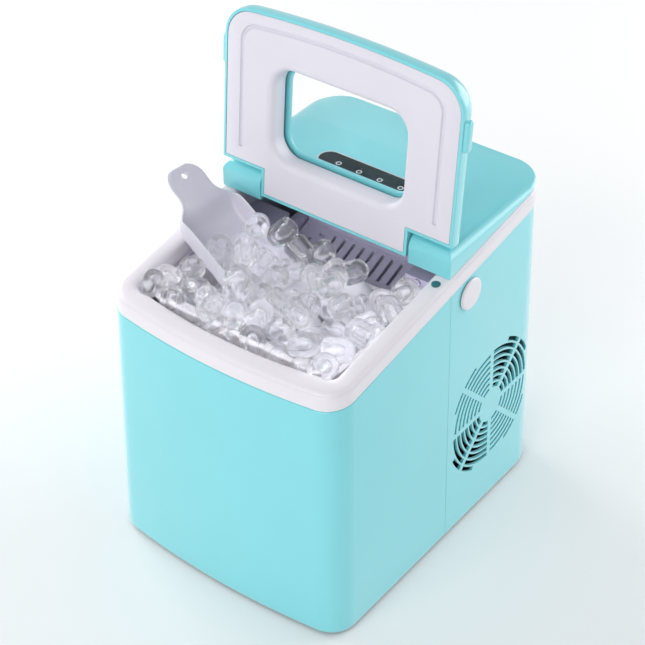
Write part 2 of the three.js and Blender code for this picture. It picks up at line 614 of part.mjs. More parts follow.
// Slotted plate that pushes the frozen bullets forward into the basket.
function iceShovel() {
  const { half, front, back, low, high, thick } = SHOVEL;
  const plate = prismX(polygon([[front, low], [back, high], [back, high + thick], [front, low + thick]]), -half, half);
  const lip = box([-half, back - 2, high], [half, back, high + 12]);
  const slots = [];
  for (let i = 0; i < 8; i += 1) {
    const x = -26 + i * 9.4;
    slots.push(box([x - 1.4, front + 4, 200], [x + 1.4, back - 5, 232]));
  }
  slots.push(box([-46, 28, 200], [-43.5, 34, 232]), box([-40, 38, 200], [-34, 40.5, 232]));
  return piece('ice_shovel', cut(join(plate, lip), ...slots), LAVENDER);
}

function shovelRail(side) {
  const mirror = (low, high) => [side * low, side * high].sort((a, b) => a - b);
  const [a, b] = mirror(58.5, 64);
  const [c, d] = mirror(62, 94.4);
  const rail = box([a, 4, TANK_SHELF + TANK_WALL + 8], [b, 50, 236]);
  const bracket = box([c, 4, 226], [d, 28, 243]);
  return piece(side > 0 ? 'shovel_rail_right' : 'shovel_rail_left', join(rail, bracket), WHITE);
}

function iceFullSensor() {
  const housing = box([66, 8, 243.4], [90, 22, 250]);
  const lens = cylinder('y', 3, 6, 10, [78, 246.5], 16);
  return piece('ice_full_sensor', join(housing, lens), LAVENDER);
}

function waterPump() {
  const floor = TANK_FLOOR + TANK_WALL + GAP;
  const body = turned([[0, floor], [17, floor], [17, floor + 20], [12, floor + 26], [0, floor + 26]], [-55, -20, 0], 20);
  const outlet = cylinder('y', 4.6, -24, -5.2, [-55, floor + 12], 12);
  return piece('water_pump', join(body, outlet), BLACK);
}

function pumpHose() {
  const start = TANK_FLOOR + TANK_WALL + GAP + 12;
  const route = [[-55, -1.2, start], [-55, 3, start + 2], [-55, 5, start + 20], [-62, 5, 150],
    [-76, 4.5, 196], [-78, 20, 208], [-78, 50, 212], [-76, 62, 214]];
  return piece('pump_hose', tube(route, 3.2, 22), CLEAR);
}

// ---- refrigeration, fan and base ----------------------------------------------------------------------------
function basePan() {
  const plate = toSolid(flare(prismZ(footprint(WALL + GAP + 0.1), BASE_LOW, BASE_TOP)));
  const slots = [-40, -25, -10, 5, 20, 35].map((x) => box([x, -90, -10], [x + 5, -40, 20]));
  const holes = screwPlaces.map(([x, y]) => cylinder('z', 2.3, -10, 20, [x, y], 12));
  return piece('base_pan', cut(plate, ...slots, ...holes), DARK_METAL);
}

const footPlaces = [[-1, -1], [1, -1], [-1, 1], [1, 1]].map(([a, b]) => [a * FOOT.x, b * FOOT.y]);
const footNames = ['foot_front_left', 'foot_front_right', 'foot_rear_left', 'foot_rear_right'];

function foot(index) {
  const { flat, radius, high } = FOOT;
  const shape = [[0, 0], [flat, 0], [radius, 1], [radius, high], [0, high]];
  return piece(footNames[index], turned(shape, [...footPlaces[index], 0], 20), RUBBER);
}

const screwPlaces = [SCREW.front, SCREW.rear].flatMap((y) => [[-SCREW.x, y], [SCREW.x, y]]);
const screwNames = ['base_screw_front_left', 'base_screw_front_right', 'base_screw_rear_left', 'base_screw_rear_right'];

function baseScrew(index) {
  const [x, y] = screwPlaces[index];
  const shape = [[0, 1.6], [4, 1.6], [4, 3.4], [2, 3.5], [2, 12], [0, 12]];
  return piece(screwNames[index], turned(shape, [x, y, 0], 12), STEEL);
}

function compressor() {
  const { x, y, radius, low, high } = COMPRESSOR;
  const can = turned([[0, low + 4], [radius - 8, low + 4], [radius, low + 14], [radius, high - 26],
    [radius - 10, high - 8], [14, high], [0, high]], [x, y, 0], 28);
  const plate = box([x - 50, y - 42, low], [x + 50, y + 42, low + 5]);
  const band = cylinder('z', radius + 1.6, 70, 76, [x, y], 28);
  const terminals = box([x - 18, y - radius - 6, 90], [x + 18, y - radius + 8, 122]);
  return piece('compressor', join(can, plate, band, terminals), DARK_METAL);
}

const mountPlaces = () => [[-1, -1], [1, -1], [-1, 1], [1, 1]].map(([a, b]) =>
  [COMPRESSOR.x + a * 42, COMPRESSOR.y + b * 34]);

function compressorMount(index) {
  const [x, y] = mountPlaces()[index];
  const low = BASE_TOP + GAP;
  const high = COMPRESSOR.low - GAP;
  const shape = [[0, low], [7, low], [7, low + 2], [5, low + 3], [7, high - 2], [7, high], [0, high]];
  return piece(`compressor_mount_${index + 1}`, turned(shape, [x, y, 0], 10), RUBBER);
}

function condenser() {
  const { near, far, front, pitch, low, high } = CONDENSER;
  const middle = (near + far) / 2;
  const fins = [];
  for (let i = 0; i < CONDENSER.fins; i += 1) {
    const y = front + i * pitch;
    fins.push(box([near, y, low], [far, y + 1.2, high]));
  }
  const pipes = [58, 86, 114, 142].map((z) => cylinder('y', 3.2, 16, 120, [middle, z], 6));
  const bends = [[58, 86], [114, 142]].map(([a, b]) => box([middle - 3, 116.5, a], [middle + 3, 121, b]));
  const bend = box([middle - 3, 14.5, 86], [middle + 3, 18, 114]);
  const frontLeg = box([near, front, BASE_TOP + GAP], [far, front + 4, low + 6]);
  const rearLeg = box([near, 112, BASE_TOP + GAP], [far, 117.2, low + 6]);
  return piece('condenser', join(...fins, ...pipes, ...bends, bend, frontLeg, rearLeg), STEEL);
}

function fanShroud() {
  const { inner, half, ring } = SHROUD;
  const back = inner + SHROUD.plate;
  const plate = roundedRect(VENT_Y - half, VENT_Z - half, VENT_Y + half, VENT_Z + half, 6);
  plate.holes.push(new THREE.Path().absarc(VENT_Y, VENT_Z, ring, 0, Math.PI * 2, true));
  const wall = new THREE.Shape().absarc(VENT_Y, VENT_Z, ring + 2.4, 0, Math.PI * 2);
  wall.holes.push(new THREE.Path().absarc(VENT_Y, VENT_Z, ring, 0, Math.PI * 2, true));
  const legs = [22, 108].map((y) => box([inner, y, BASE_TOP + GAP], [back, y + 6, 60]));
  const arms = [0, Math.PI / 2].map((turn) => prismX(armShape(turn), inner, back));
  const hub = cylinder('x', MOTOR_RADIUS + 4, inner, back, [VENT_Y, VENT_Z]);
  const motorHole = cylinder('x', MOTOR_RADIUS + GAP, 50, 90, [VENT_Y, VENT_Z]);
  const frame = [prismX(plate, inner, back, 7), prismX(wall, inner, inner + SHROUD.duct, 7)];
  return piece('fan_shroud', cut(join(...frame, hub, ...legs, ...arms), motorHole), BLACK);
}

// A straight bar across the fan duct, turned about the fan's axis.
function armShape(turn) {
  const [c, s] = [Math.cos(turn), Math.sin(turn)];
  const corners = [[-51, -3], [51, -3], [51, 3], [-51, 3]];
  return polygon(corners.map(([a, b]) => [VENT_Y + a * c - b * s, VENT_Z + a * s + b * c]));
}

function fanMotor() {
  const can = cylinder('x', MOTOR_RADIUS, 62.5, 81, [VENT_Y, VENT_Z], 24);
  const bore = cylinder('x', 2.3, 70, 90, [VENT_Y, VENT_Z], 12);
  return piece('fan_motor', cut(toSolid(can), bore), BLACK);
}

function fanRotor() {
  const hub = cylinder('x', 13, 83, 95, [0, 0], 24);
  const shaft = cylinder('x', 2, 73, 84, [0, 0], 12);
  const blades = [];
  for (let i = 0; i < BLADES; i += 1) {
    const blade = new THREE.BoxGeometry(1.8, 24, FAN_RADIUS - 10);
    blade.rotateZ(0.55).translate(89, 0, (FAN_RADIUS + 10) / 2);
    blades.push(blade.rotateX(i * 2 * Math.PI / BLADES));
  }
  const rotor = join(hub, shaft, ...blades);
  return piece('fan_rotor', rotor.translate([0, VENT_Y, VENT_Z]), BLACK);
}

function filterDrier() {
  const place = [22, 134, 0];
  const body = turned([[0, 30], [3, 32], [3, 38], [9, 44], [9, 92], [3, 98], [3, 104], [0, 106]], place, 16);
  return piece('filter_drier', body, COPPER);
}

function tubes() {
  const discharge = [[COMPRESSOR.x + 34, 116, 60], [2, 119, 62], [12, 112, 110], [36, 122, 156], [48, 126, 164],
    [51, 125, 154], [51, 124.5, 144]];
  const suction = [[COMPRESSOR.x - 20, COMPRESSOR.y + 46, 90], [-66, 136, 120], [-80, 132, 220], [-84, 116, 276],
    [-80, 78, 274], [-76, 66, 262], [-74, 66, 252]];
  return [piece('discharge_tube', tube(discharge, 2.6, 18), COPPER),
    piece('suction_tube', tube(suction, 3, 22), COPPER)];
}

function controlBoard() {
  const board = box([-46, 36, 272], [46, 74, 273.6]);
  const chips = [[-30, 60], [0, 62], [26, 60]].map(([x, y]) => box([x, y, 273], [x + 12, y + 9, 277]));
  const relay = box([-20, 40, 273], [-4, 48, 280]);
  return piece('control_board', join(board, relay, ...chips), BOARD);
}

// A round piece turned about an axis along +Y: profile pairs are (radius, distance outwards from the rear wall).
function turnedBack(profile, x, z, sides = 20) {
  const points = profile.map(([radius, out]) => new THREE.Vector2(radius, out));
  return new THREE.LatheGeometry(points, sides).translate(x, rearFace(z), z);
}

function powerInlet() {
  const shape = [[0, -6], [8, -6], [8, GAP], [12, GAP], [12, 2.2], [10, 4], [4, 4], [4, -3], [0, -3]];
  return piece('power_inlet', turnedBack(shape, INLET.x, INLET.z), BLACK);
}

function drainSpout() {
  const shape = [[5.2, -24], [7, -24], [7, GAP], [10, GAP], [10, 2], [5.2, 2], [5.2, -24]];
  return piece('drain_spout', turnedBack(shape, SPOUT.x, SPOUT.z), WHITE);
}

function drainPlug() {
  const shape = [[0, -12], [4.9, -12], [4.9, 2 + GAP], [9, 2 + GAP], [8, 4.4], [0, 4.4]];
  return piece('drain_plug', turnedBack(shape, SPOUT.x, SPOUT.z), RUBBER);
}

function sideCap(side) {
  const face = sideFace(CAP.z);
  const outwards = (near, far) => [side * (face + near), side * (face + far)].sort((a, b) => a - b);
  const disc = cylinder('x', CAP.radius, ...outwards(GAP, GAP + CAP.thick), [CAP.y, CAP.z], 28);
  const post = cylinder('x', CAP.post, ...outwards(-8, 1), [CAP.y, CAP.z], 16);
  return piece(side > 0 ? 'side_cap_right' : 'side_cap_left', join(disc, post), WHITE);
}

// ---- assembly -----------------------------------------------------------------------------------------------
const iceMaker = new THREE.Group();
iceMaker.name = 'ice_maker';
iceMaker.add(basePan(), frontShell(), rearShell(), topFrame(), innerTank(), rearDeck(), controlPanel());
iceMaker.add(panelStud('power_button', 0, WHITE, 0.9), panelStud('indicator_left', 1, WHITE, 0.5));
iceMaker.add(panelStud('indicator_right', 2, WHITE, 0.5), panelStud('select_button', 3, WHITE, 0.9));
iceMaker.add(controlBoard(), compressor(), condenser(), fanShroud(), fanMotor(), fanRotor(), filterDrier());
iceMaker.add(...tubes(), evaporator(), waterTray(), iceShovel(), iceFullSensor(), waterPump(), pumpHose());
iceMaker.add(trayMount('tray_motor', -93, -70.5, BLACK), trayMount('tray_bearing', 70.5, 93, WHITE));
iceMaker.add(powerInlet(), drainSpout(), drainPlug());
for (const side of [-1, 1]) iceMaker.add(sideCap(side), bumper(side), shovelRail(side));
for (let i = 0; i < 4; i += 1) iceMaker.add(foot(i), baseScrew(i), compressorMount(i));
iceMaker.add(iceBasket(), scoopInPlace(), lid());

export default iceMaker;
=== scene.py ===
"""A counter-top ice maker standing open, full of hollow bullet ice, with a scoop in it.

Every length below is in millimetres in the part's own frame, and mesh_object() turns it into metres.
"""
import math
import random

import bmesh
import bpy
from mathutils import Matrix, Vector


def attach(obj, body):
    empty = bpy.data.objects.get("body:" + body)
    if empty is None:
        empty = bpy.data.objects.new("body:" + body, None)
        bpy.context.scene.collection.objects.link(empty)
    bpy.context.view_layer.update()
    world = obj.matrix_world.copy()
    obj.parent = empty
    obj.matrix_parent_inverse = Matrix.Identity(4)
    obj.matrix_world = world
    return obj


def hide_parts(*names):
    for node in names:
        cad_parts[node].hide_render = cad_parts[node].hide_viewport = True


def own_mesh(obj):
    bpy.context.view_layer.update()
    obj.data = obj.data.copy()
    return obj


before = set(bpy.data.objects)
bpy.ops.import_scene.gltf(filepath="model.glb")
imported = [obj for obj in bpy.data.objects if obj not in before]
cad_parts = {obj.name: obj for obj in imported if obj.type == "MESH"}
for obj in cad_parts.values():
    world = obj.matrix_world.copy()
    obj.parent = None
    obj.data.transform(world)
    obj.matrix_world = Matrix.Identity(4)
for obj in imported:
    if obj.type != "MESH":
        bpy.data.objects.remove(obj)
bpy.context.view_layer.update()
MM = 0.001

# ---- driving dimensions, the same as the solids' -------------------------------------------------
WIDTH = 222
DEPTH = 290.3
BOW = 9
FRONT_CORNER = 22.5
REAR_CORNER = 32
FLARE_X = 0.045
FLARE_Y = 0.033
FLARE_HEIGHT = 230
WALL = 2.4
SEAM_Y = 5
GAP = 0.3

RIM_FRONT_Z = 223.3
RIM_SLOPE = 0.169
RIM_THICK = 16

DECK_TOP = 289.8
DECK_FRONT = 3.4
DECK_MIDDLE_FRONT = 26.5
DECK_EDGE = 16
DECK_BACK_BLOCK = 108

HINGE = Vector((0, 13.5, 278.3))
LID_CLOSED = math.atan(RIM_SLOPE)
LID_TRAVEL = math.radians(104.1)
LID_HALF = 109.5
LID_FRONT = 150
LID_BOW = 6
LID_CORNER = 27
LID_UNDER = -10.6
LID_OVER = 10.5
LID_SKIN = 2.5
TONGUE_HALF = 70
TONGUE_BACK = -9.2
NOTCH = 13.4
PIN_HOLE = 3.3
WINDOW_HALF = 61.5
WINDOW_NEAR = 26.9
WINDOW_FAR = 105.9
WINDOW_CORNER = 18

SCOOP_ORIGIN = Vector((-90.5, -40.5, 257.8))
SCOOP_TURN = math.radians(-5)
SCOOP_TILT = math.radians(32)
SCOOP_LENGTH = 100
SCOOP_HALF = 30.5
SCOOP_DEEP = 20
SCOOP_HANDLE = 46
SCOOP_RISE = 13
SCOOP_WALL = 2.2

BASKET_HALF = 86
BASKET_FRONT = -114
BASKET_BACK = -6
BASKET_FLOOR = 104
BASKET_TOP = 236
BASKET_FLANGE = 6.5
BASKET_CORNER = 12
BASKET_TAPER = 0.05
BASKET_WALL = 2.2

VENT_Y = 68.2
VENT_Z = 103.2
VENT_HUB = 16
VENT_PITCH = 5.7
VENT_RINGS = 7
VENT_WIDE = 4
VENT_NARROW = 2.6
LOUVRE_PITCH = 9
LOUVRE_GAP = 4
LOUVRE_REAR_Z = 130
BORE_X = 62
BORE_Z = 32
INLET_BORE = 8.4
SPOUT_BORE = 7.4

PANEL_Y = 54.5
PANEL_HALF = 50
PANEL_RADIUS = 9.5
RING_Y = 51.5
RING_PITCH = 20
STUDS = 4
CAP_Y = 31
CAP_Z = 237
CAP_RADIUS = 13.5
CAP_BORE = 4.4

ICE_RADIUS = 9.8
ICE_LENGTH = 23
ICE_BORE = 4.2
ICE_FLOOR = 152
ICE_TOP = 254                       # no bullet outside the scoop lies higher
ICE_SIDES = 18
ICE_SEED = 7
ICE_SCALE = 20                      # the simulation runs at this scale, where the solver is steady
ICE_FRAMES = 90
ICE_LAYERS = 9
ICE_COLUMNS = 7
ICE_ROWS = 4
ICE_JITTER = 2
FRONT_ROW = 8
SCOOP_LOAD = 14
OVERHANG_Y = -108                   # a bullet further forward than this hangs over the basket's edge
COVER_RISE = 9                      # a bullet is covered by one that is this much higher
COVER_REACH = 13                    # and no further away than this, seen from above


# ---- meshes --------------------------------------------------------------------------------------
def mesh_object(name, points, faces):
    mesh = bpy.data.meshes.new(name)
    mesh.from_pydata([Vector(point) * MM for point in points], [], faces)
    mesh.update()
    outward(mesh)
    obj = bpy.data.objects.new(name, mesh)
    bpy.context.scene.collection.objects.link(obj)
    return obj


def outward(mesh):
    """Joins points that coincide, drops edges left without a face, and turns every face outwards."""
    bm = bmesh.new()
    bm.from_mesh(mesh)
    bmesh.ops.remove_doubles(bm, verts=bm.verts, dist=1e-6)
    bare = [edge for edge in bm.edges if not edge.link_faces]
    bmesh.ops.delete(bm, geom=bare, context="EDGES")
    bmesh.ops.recalc_face_normals(bm, faces=bm.faces)
    bm.to_mesh(mesh)
    bm.free()


def loft(name, rings, loop=False):
    """A skin over closed rings of equal length. Its ends are capped, or joined together for a loop."""
    count = len(rings[0])
    points = [point for ring in rings for point in ring]
    faces = []
    for i in range(len(rings) if loop else len(rings) - 1):
        a, b = i * count, (i + 1) % len(rings) * count
        for j in range(count):
            k = (j + 1) % count
            faces.append((a + j, a + k, b + k, b + j))
    if not loop:
        faces.append(tuple(reversed(range(count))))
        faces.append(tuple(range(len(points) - count, len(points))))
    return mesh_object(name, points, faces)


def prism(name, outline, low, high):
    return loft(name, [[(x, y, z) for x, y in outline] for z in (low, high)])


def block(name, low, high):
    (a, b, c), (d, e, f) = low, high
    return prism(name, [(a, b), (d, b), (d, e), (a, e)], c, f)


def rod(name, radius, low, high, place, sides=48):
    """A cylinder along x at place (y, z)."""
    y, z = place
    angles = [2 * math.pi * i / sides for i in range(sides)]
    circle = [(y + radius * math.cos(a), z + radius * math.sin(a)) for a in angles]
    return loft(name, [[(x, p, q) for p, q in circle] for x in (low, high)])


def lathe(name, profile, sides=40):
    """A closed profile of (radius, height) turned about the z axis."""
    rings = []
    for i in range(sides):
        a = 2 * math.pi * i / sides
        rings.append([(r * math.cos(a), r * math.sin(a), z) for r, z in profile])
    return loft(name, rings, loop=True)


def boolean(obj, tool, operation="DIFFERENCE"):
    modifier = obj.modifiers.new("boolean", "BOOLEAN")
    modifier.operation = operation
    modifier.object = tool
    modifier.solver = "MANIFOLD"
    bpy.context.view_layer.objects.active = obj
    bpy.ops.object.modifier_apply(modifier=modifier.name)
    bpy.data.objects.remove(tool)


def cut(obj, *tools):
    for tool in tools:
        boolean(obj, tool)
    return obj


def unite(obj, *others):
    for other in others:
        boolean(obj, other, "UNION")
    return obj


def merge(name, objects):
    """One object that holds several separate meshes."""
    mesh = bpy.data.meshes.new(name)
    bm = bmesh.new()
    for obj in objects:
        part = obj.data.copy()
        part.transform(obj.matrix_world)
        bm.from_mesh(part)
        bpy.data.meshes.remove(part)
        bpy.data.objects.remove(obj)
    bm.to_mesh(mesh)
    bm.free()
    merged = bpy.data.objects.new(name, mesh)
    bpy.context.scene.collection.objects.link(merged)
    return merged


def smooth(obj, degrees=35):
    obj.data.shade_smooth()
    obj.data.set_sharp_from_angle(angle=math.radians(degrees))
    return obj


def soften(obj):
    """Rounds the edges of a piece at render time, without changing its mesh."""
    modifier = obj.modifiers.new("soften", "BEVEL")
    modifier.width = 0.5 * MM
    modifier.segments = 2
    modifier.limit_method = "ANGLE"
    modifier.angle_limit = math.radians(40)
    modifier.harden_normals = False


def finish_piece(obj, body, material, slot, *nodes, degrees=35):
    """Gives a piece its material, its body and the nodes that it stands for."""
    smooth(obj, degrees)
    obj.data.materials.clear()
    obj.data.materials.append(material)
    obj.data.polygons.foreach_set("material_index", [0] * len(obj.data.polygons))
    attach(obj, body)
    if nodes:
        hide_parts(*nodes)
    return obj


# ---- outlines ------------------------------------------------------------------------------------
def arc(x, y, radius, start, end, steps):
    angles = [start + (end - start) * i / steps for i in range(steps + 1)]
    return [(x + radius * math.cos(a), y + radius * math.sin(a)) for a in angles]


def bowed_outline(half, front, rear, bow, front_radius, rear_radius):
    """Straight sides, a bowed front and four round corners, anticlockwise from the right side."""
    bow_radius = (half * half + bow * bow) / (2 * bow)
    bow_y = front + bow_radius
    corner_x = half - front_radius
    corner_y = bow_y - math.sqrt((bow_radius - front_radius) ** 2 - corner_x**2)
    meet = math.atan2(corner_y - bow_y, corner_x)
    turn = math.pi
    rear_right = arc(half - rear_radius, rear - rear_radius, rear_radius, 0, turn / 2, 14)
    rear_left = arc(-half + rear_radius, rear - rear_radius, rear_radius, turn / 2, turn, 14)
    front_left = arc(-corner_x, corner_y, front_radius, turn, turn - meet, 14)
    bowed = arc(0, bow_y, bow_radius, turn - meet, 2 * turn + meet, 40)
    front_right = arc(corner_x, corner_y, front_radius, 2 * turn + meet, 2 * turn, 14)
    return rear_right + rear_left + front_left + bowed[1:-1] + front_right


def footprint(inset, front_radius=None, rear_radius=None):
    front_radius = FRONT_CORNER - inset if front_radius is None else front_radius
    rear_radius = REAR_CORNER - inset if rear_radius is None else rear_radius
    edge = DEPTH / 2 - inset
    return bowed_outline(WIDTH / 2 - inset, -edge, edge, BOW, front_radius, rear_radius)


def rounded_rect(left, front, right, back, radius, steps=10):
    quarter = math.pi / 2
    return (
        arc(right - radius, back - radius, radius, 0, quarter, steps)
        + arc(left + radius, back - radius, radius, quarter, 2 * quarter, steps)
        + arc(left + radius, front + radius, radius, 2 * quarter, 3 * quarter, steps)
        + arc(right - radius, front + radius, radius, 3 * quarter, 4 * quarter, steps)
    )


def rim_z(y, above=0):
    return RIM_FRONT_Z + above + RIM_SLOPE * (y + DEPTH / 2)


def flare(x, y, z):
    low = 1 - z / FLARE_HEIGHT
    return x * (1 + FLARE_X * low), y * (1 + FLARE_Y * low), z


def side_face(z):
    return WIDTH / 2 * (1 + FLARE_X * (1 - z / FLARE_HEIGHT))


def rear_face(z):
    return DEPTH / 2 * (1 + FLARE_Y * (1 - z / FLARE_HEIGHT))


def quarter_round(radius, top, steps=9):
    """(inset, height) pairs of an upper edge rounded with that radius, from the side up to the top."""
    turns = [math.pi / 2 * i / steps for i in range(steps + 1)]
    return [(radius * (1 - math.cos(t)), top - radius * (1 - math.sin(t))) for t in turns]


# ---- materials -----------------------------------------------------------------------------------
def node(tree, kind, **values):
    made = tree.nodes.new(kind)
    for key, value in values.items():
        setattr(made, key, value)
    return made


def new_material(name):
    material = bpy.data.materials.new(name)
    material.use_nodes = True
    tree = material.node_tree
    return material, tree, tree.nodes["Principled BSDF"]


def noise(tree, scale, detail, place):
    texture = node(tree, "ShaderNodeTexNoise")
    texture.inputs["Scale"].default_value = scale
    texture.inputs["Detail"].default_value = detail
    tree.links.new(place, texture.inputs["Vector"])
    return texture.outputs["Fac"]


def uneven_gloss(tree, shader, pattern, roughness, spread):
    gloss = node(tree, "ShaderNodeMapRange")
    gloss.inputs["To Min"].default_value = roughness * (1 - spread)
    gloss.inputs["To Max"].default_value = roughness * (1 + spread)
    tree.links.new(pattern, gloss.inputs["Value"])
    tree.links.new(gloss.outputs["Result"], shader.inputs["Roughness"])


def uneven_surface(tree, shader, pattern, strength, distance):
    bump = node(tree, "ShaderNodeBump")
    bump.inputs["Strength"].default_value = strength
    bump.inputs["Distance"].default_value = distance
    tree.links.new(pattern, bump.inputs["Height"])
    tree.links.new(bump.outputs["Normal"], shader.inputs["Normal"])
    return bump


def uneven_color(tree, shader, pattern, dark, light, stops=(0, 1)):
    shade = node(tree, "ShaderNodeValToRGB")
    for element, position, color in zip(shade.color_ramp.elements, stops, (dark, light)):
        element.position = position
        element.color = (*color, 1)
    tree.links.new(pattern, shade.inputs["Fac"])
    tree.links.new(shade.outputs["Color"], shader.inputs["Base Color"])


def plastic(name, color, roughness, grain=0.06, coat=0.0, coat_roughness=0.12, coat_ior=1.5, sheen=0.0,
            variation=0.03, specular=0.5):
    """Moulded plastic: a fine grain, a faint mottle in its colour and gloss, and softly rounded edges."""
    material, tree, shader = new_material(name)
    shader.inputs["Coat Weight"].default_value = coat
    shader.inputs["Coat Roughness"].default_value = coat_roughness
    shader.inputs["Coat IOR"].default_value = coat_ior
    shader.inputs["Sheen Weight"].default_value = sheen
    shader.inputs["Sheen Roughness"].default_value = 0.4
    shader.inputs["Specular IOR Level"].default_value = specular
    place = node(tree, "ShaderNodeTexCoord").outputs["Object"]
    broad = noise(tree, 14, 5, place)
    dark = [channel * (1 - variation) for channel in color]
    light = [min(1, channel * (1 + variation)) for channel in color]
    uneven_color(tree, shader, broad, dark, light, (0.3, 0.7))
    uneven_gloss(tree, shader, broad, roughness, 0.15)
    bump = uneven_surface(tree, shader, noise(tree, 1600, 3, place), grain, 0.0004)
    edge = node(tree, "ShaderNodeBevel", samples=4)
    edge.inputs["Radius"].default_value = 0.6 * MM
    tree.links.new(edge.outputs["Normal"], bump.inputs["Normal"])
    return material


def metal(name, color, roughness, streak=(1, 1, 30)):
    """Bare metal with fine streaks along one direction."""
    material, tree, shader = new_material(name)
    shader.inputs["Metallic"].default_value = 1
    mapping = node(tree, "ShaderNodeMapping")
    mapping.inputs["Scale"].default_value = streak
    tree.links.new(node(tree, "ShaderNodeTexCoord").outputs["Object"], mapping.inputs["Vector"])
    grain = noise(tree, 60, 6, mapping.outputs["Vector"])
    uneven_color(tree, shader, grain, [channel * 0.75 for channel in color], color)
    uneven_gloss(tree, shader, grain, roughness, 0.3)
    return material


def clear(name, color, ior, roughness, wobble, wobble_scale, transmission=1.0, alpha=1.0, painted_glow=0.0):
    """Something clear, whose surface is slightly uneven. Any emission it is given is a painted glow: light
    that no lamp gives.
    """
    material, tree, shader = new_material(name)
    shader.inputs["Base Color"].default_value = (*color, 1)
    shader.inputs["Transmission Weight"].default_value = transmission
    shader.inputs["IOR"].default_value = ior
    shader.inputs["Alpha"].default_value = alpha
    shader.inputs["Emission Color"].default_value = (*color, 1)
    shader.inputs["Emission Strength"].default_value = painted_glow
    pattern = noise(tree, wobble_scale, 4, node(tree, "ShaderNodeTexCoord").outputs["Object"])
    uneven_gloss(tree, shader, pattern, roughness, 0.6)
    uneven_surface(tree, shader, pattern, wobble, 0.001)
    return material


def let_lamps_through(material, tint):
    """Lets the lamps' light straight through, as a stand-in for the light that ice scatters onwards."""
    tree = material.node_tree
    straight = node(tree, "ShaderNodeBsdfTransparent")
    straight.inputs["Color"].default_value = (*tint, 1)
    mix = node(tree, "ShaderNodeMixShader")
    tree.links.new(node(tree, "ShaderNodeLightPath").outputs["Is Shadow Ray"], mix.inputs[0])
    tree.links.new(tree.nodes["Principled BSDF"].outputs["BSDF"], mix.inputs[1])
    tree.links.new(straight.outputs["BSDF"], mix.inputs[2])
    tree.links.new(mix.outputs["Shader"], tree.nodes["Material Output"].inputs["Surface"])
    return material


TURQUOISE = plastic("turquoise", (0.21, 0.72, 0.78), 0.4, coat=1.0, coat_roughness=0.18, coat_ior=1.55,
                    sheen=0.35, variation=0.015)
WHITE = plastic("white", (0.84, 0.81, 0.85), 0.34, coat=0.15, variation=0.012)
SCOOP = plastic("scoop", (0.72, 0.70, 0.79), 0.34, coat=0.3, variation=0.012)
LINER = plastic("liner", (0.78, 0.76, 0.83), 0.42, grain=0.09, variation=0.015)
LAVENDER = plastic("lavender", (0.52, 0.48, 0.64), 0.5, grain=0.1, variation=0.03)
TANK = plastic("tank", (0.70, 0.68, 0.78), 0.42, grain=0.08, variation=0.02)
BLACK = plastic("black", (0.008, 0.007, 0.009), 0.2, grain=0.01, variation=0.1, specular=0.12)
MATT_BLACK = plastic("matt_black", (0.020, 0.020, 0.022), 0.55, grain=0.2, variation=0.15)
RUBBER = plastic("rubber", (0.03, 0.035, 0.04), 0.75, grain=0.3, variation=0.15)
TEAL_RUBBER = plastic("teal_rubber", (0.02, 0.16, 0.18), 0.55, grain=0.2, variation=0.1)
ENAMEL = plastic("enamel", (0.03, 0.032, 0.036), 0.35, grain=0.15, coat=0.3, variation=0.1)
LAMP = plastic("lamp", (0.80, 0.84, 0.88), 0.2, grain=0.02, coat=0.4)
BOARD = plastic("board", (0.02, 0.16, 0.06), 0.35, grain=0.15, coat=0.4, variation=0.2)
STEEL = metal("steel", (0.62, 0.63, 0.65), 0.35)
ALUMINIUM = metal("aluminium", (0.75, 0.76, 0.78), 0.4, streak=(1, 30, 1))
COPPER = metal("copper", (0.80, 0.42, 0.27), 0.3)
PLATED = metal("plated", (0.70, 0.71, 0.73), 0.22)
# The ice has a faint painted glow, which stands in for the light that a heap of ice scatters about.
CLEAR_ICE = clear("ice", (0.98, 0.985, 1.0), 1.31, 0.03, 0.25, 120, alpha=0.75, painted_glow=0.045)
ICE = let_lamps_through(CLEAR_ICE, (0.98, 0.98, 0.99))
# The bullets under the top of the heap are pale, milky and faintly glowing. This is painted brightness that
# stands in for the light that reaches through a deep heap of clear ice.
PAINTED_BRIGHT_ICE = clear("painted_bright_ice", (0.74, 0.73, 0.80), 1.31, 0.15, 0.3, 120, transmission=0.1, painted_glow=0.02)
PANE = clear("pane", (0.97, 0.99, 1.0), 1.45, 0.01, 0.01, 20, alpha=0.04)
HOSE = clear("hose", (0.80, 0.84, 0.86), 1.4, 0.35, 0.1, 90)


# ---- housing -------------------------------------------------------------------------------------
def front_path(outline):
    ahead = [(x, y) for x, y in outline if y < SEAM_Y]
    half = ahead[-1][0]
    seam = SEAM_Y - GAP / 2
    return [(-half, seam)] + ahead + [(half, seam)]


def rear_path(outline):
    behind = [(x, y) for x, y in outline if y > SEAM_Y]
    half = behind[0][0]
    seam = SEAM_Y + GAP / 2
    return [(half, seam)] + behind + [(-half, seam)]


def shell(name, path_of):
    """A side wall of the housing along part of its outline, with a rounded foot and a soft upper edge."""
    foot = [(2.6, 3.0), (1.3, 3.3), (0.5, 4.2), (0.1, 6.0), (0, 9.0)]
    top = [(0, -1.4), (0.15, -0.7), (0.6, -GAP), (WALL, -GAP), (WALL, -1.5)]
    inner = [(WALL, 9.0), (WALL + 0.1, 3.0)]
    profile = [(inset, z, False) for inset, z in foot] + [(inset, z, True) for inset, z in top]
    profile += [(inset, z, False) for inset, z in inner]
    paths = [path_of(footprint(inset)) for inset, _, _ in profile]
    rings = []
    for i in range(len(paths[0])):
        ring = []
        for path, (_, height, under_rim) in zip(paths, profile):
            x, y = path[i]
            ring.append(flare(x, y, rim_z(y, height) if under_rim else height))
        rings.append(ring)
    return loft(name, rings)


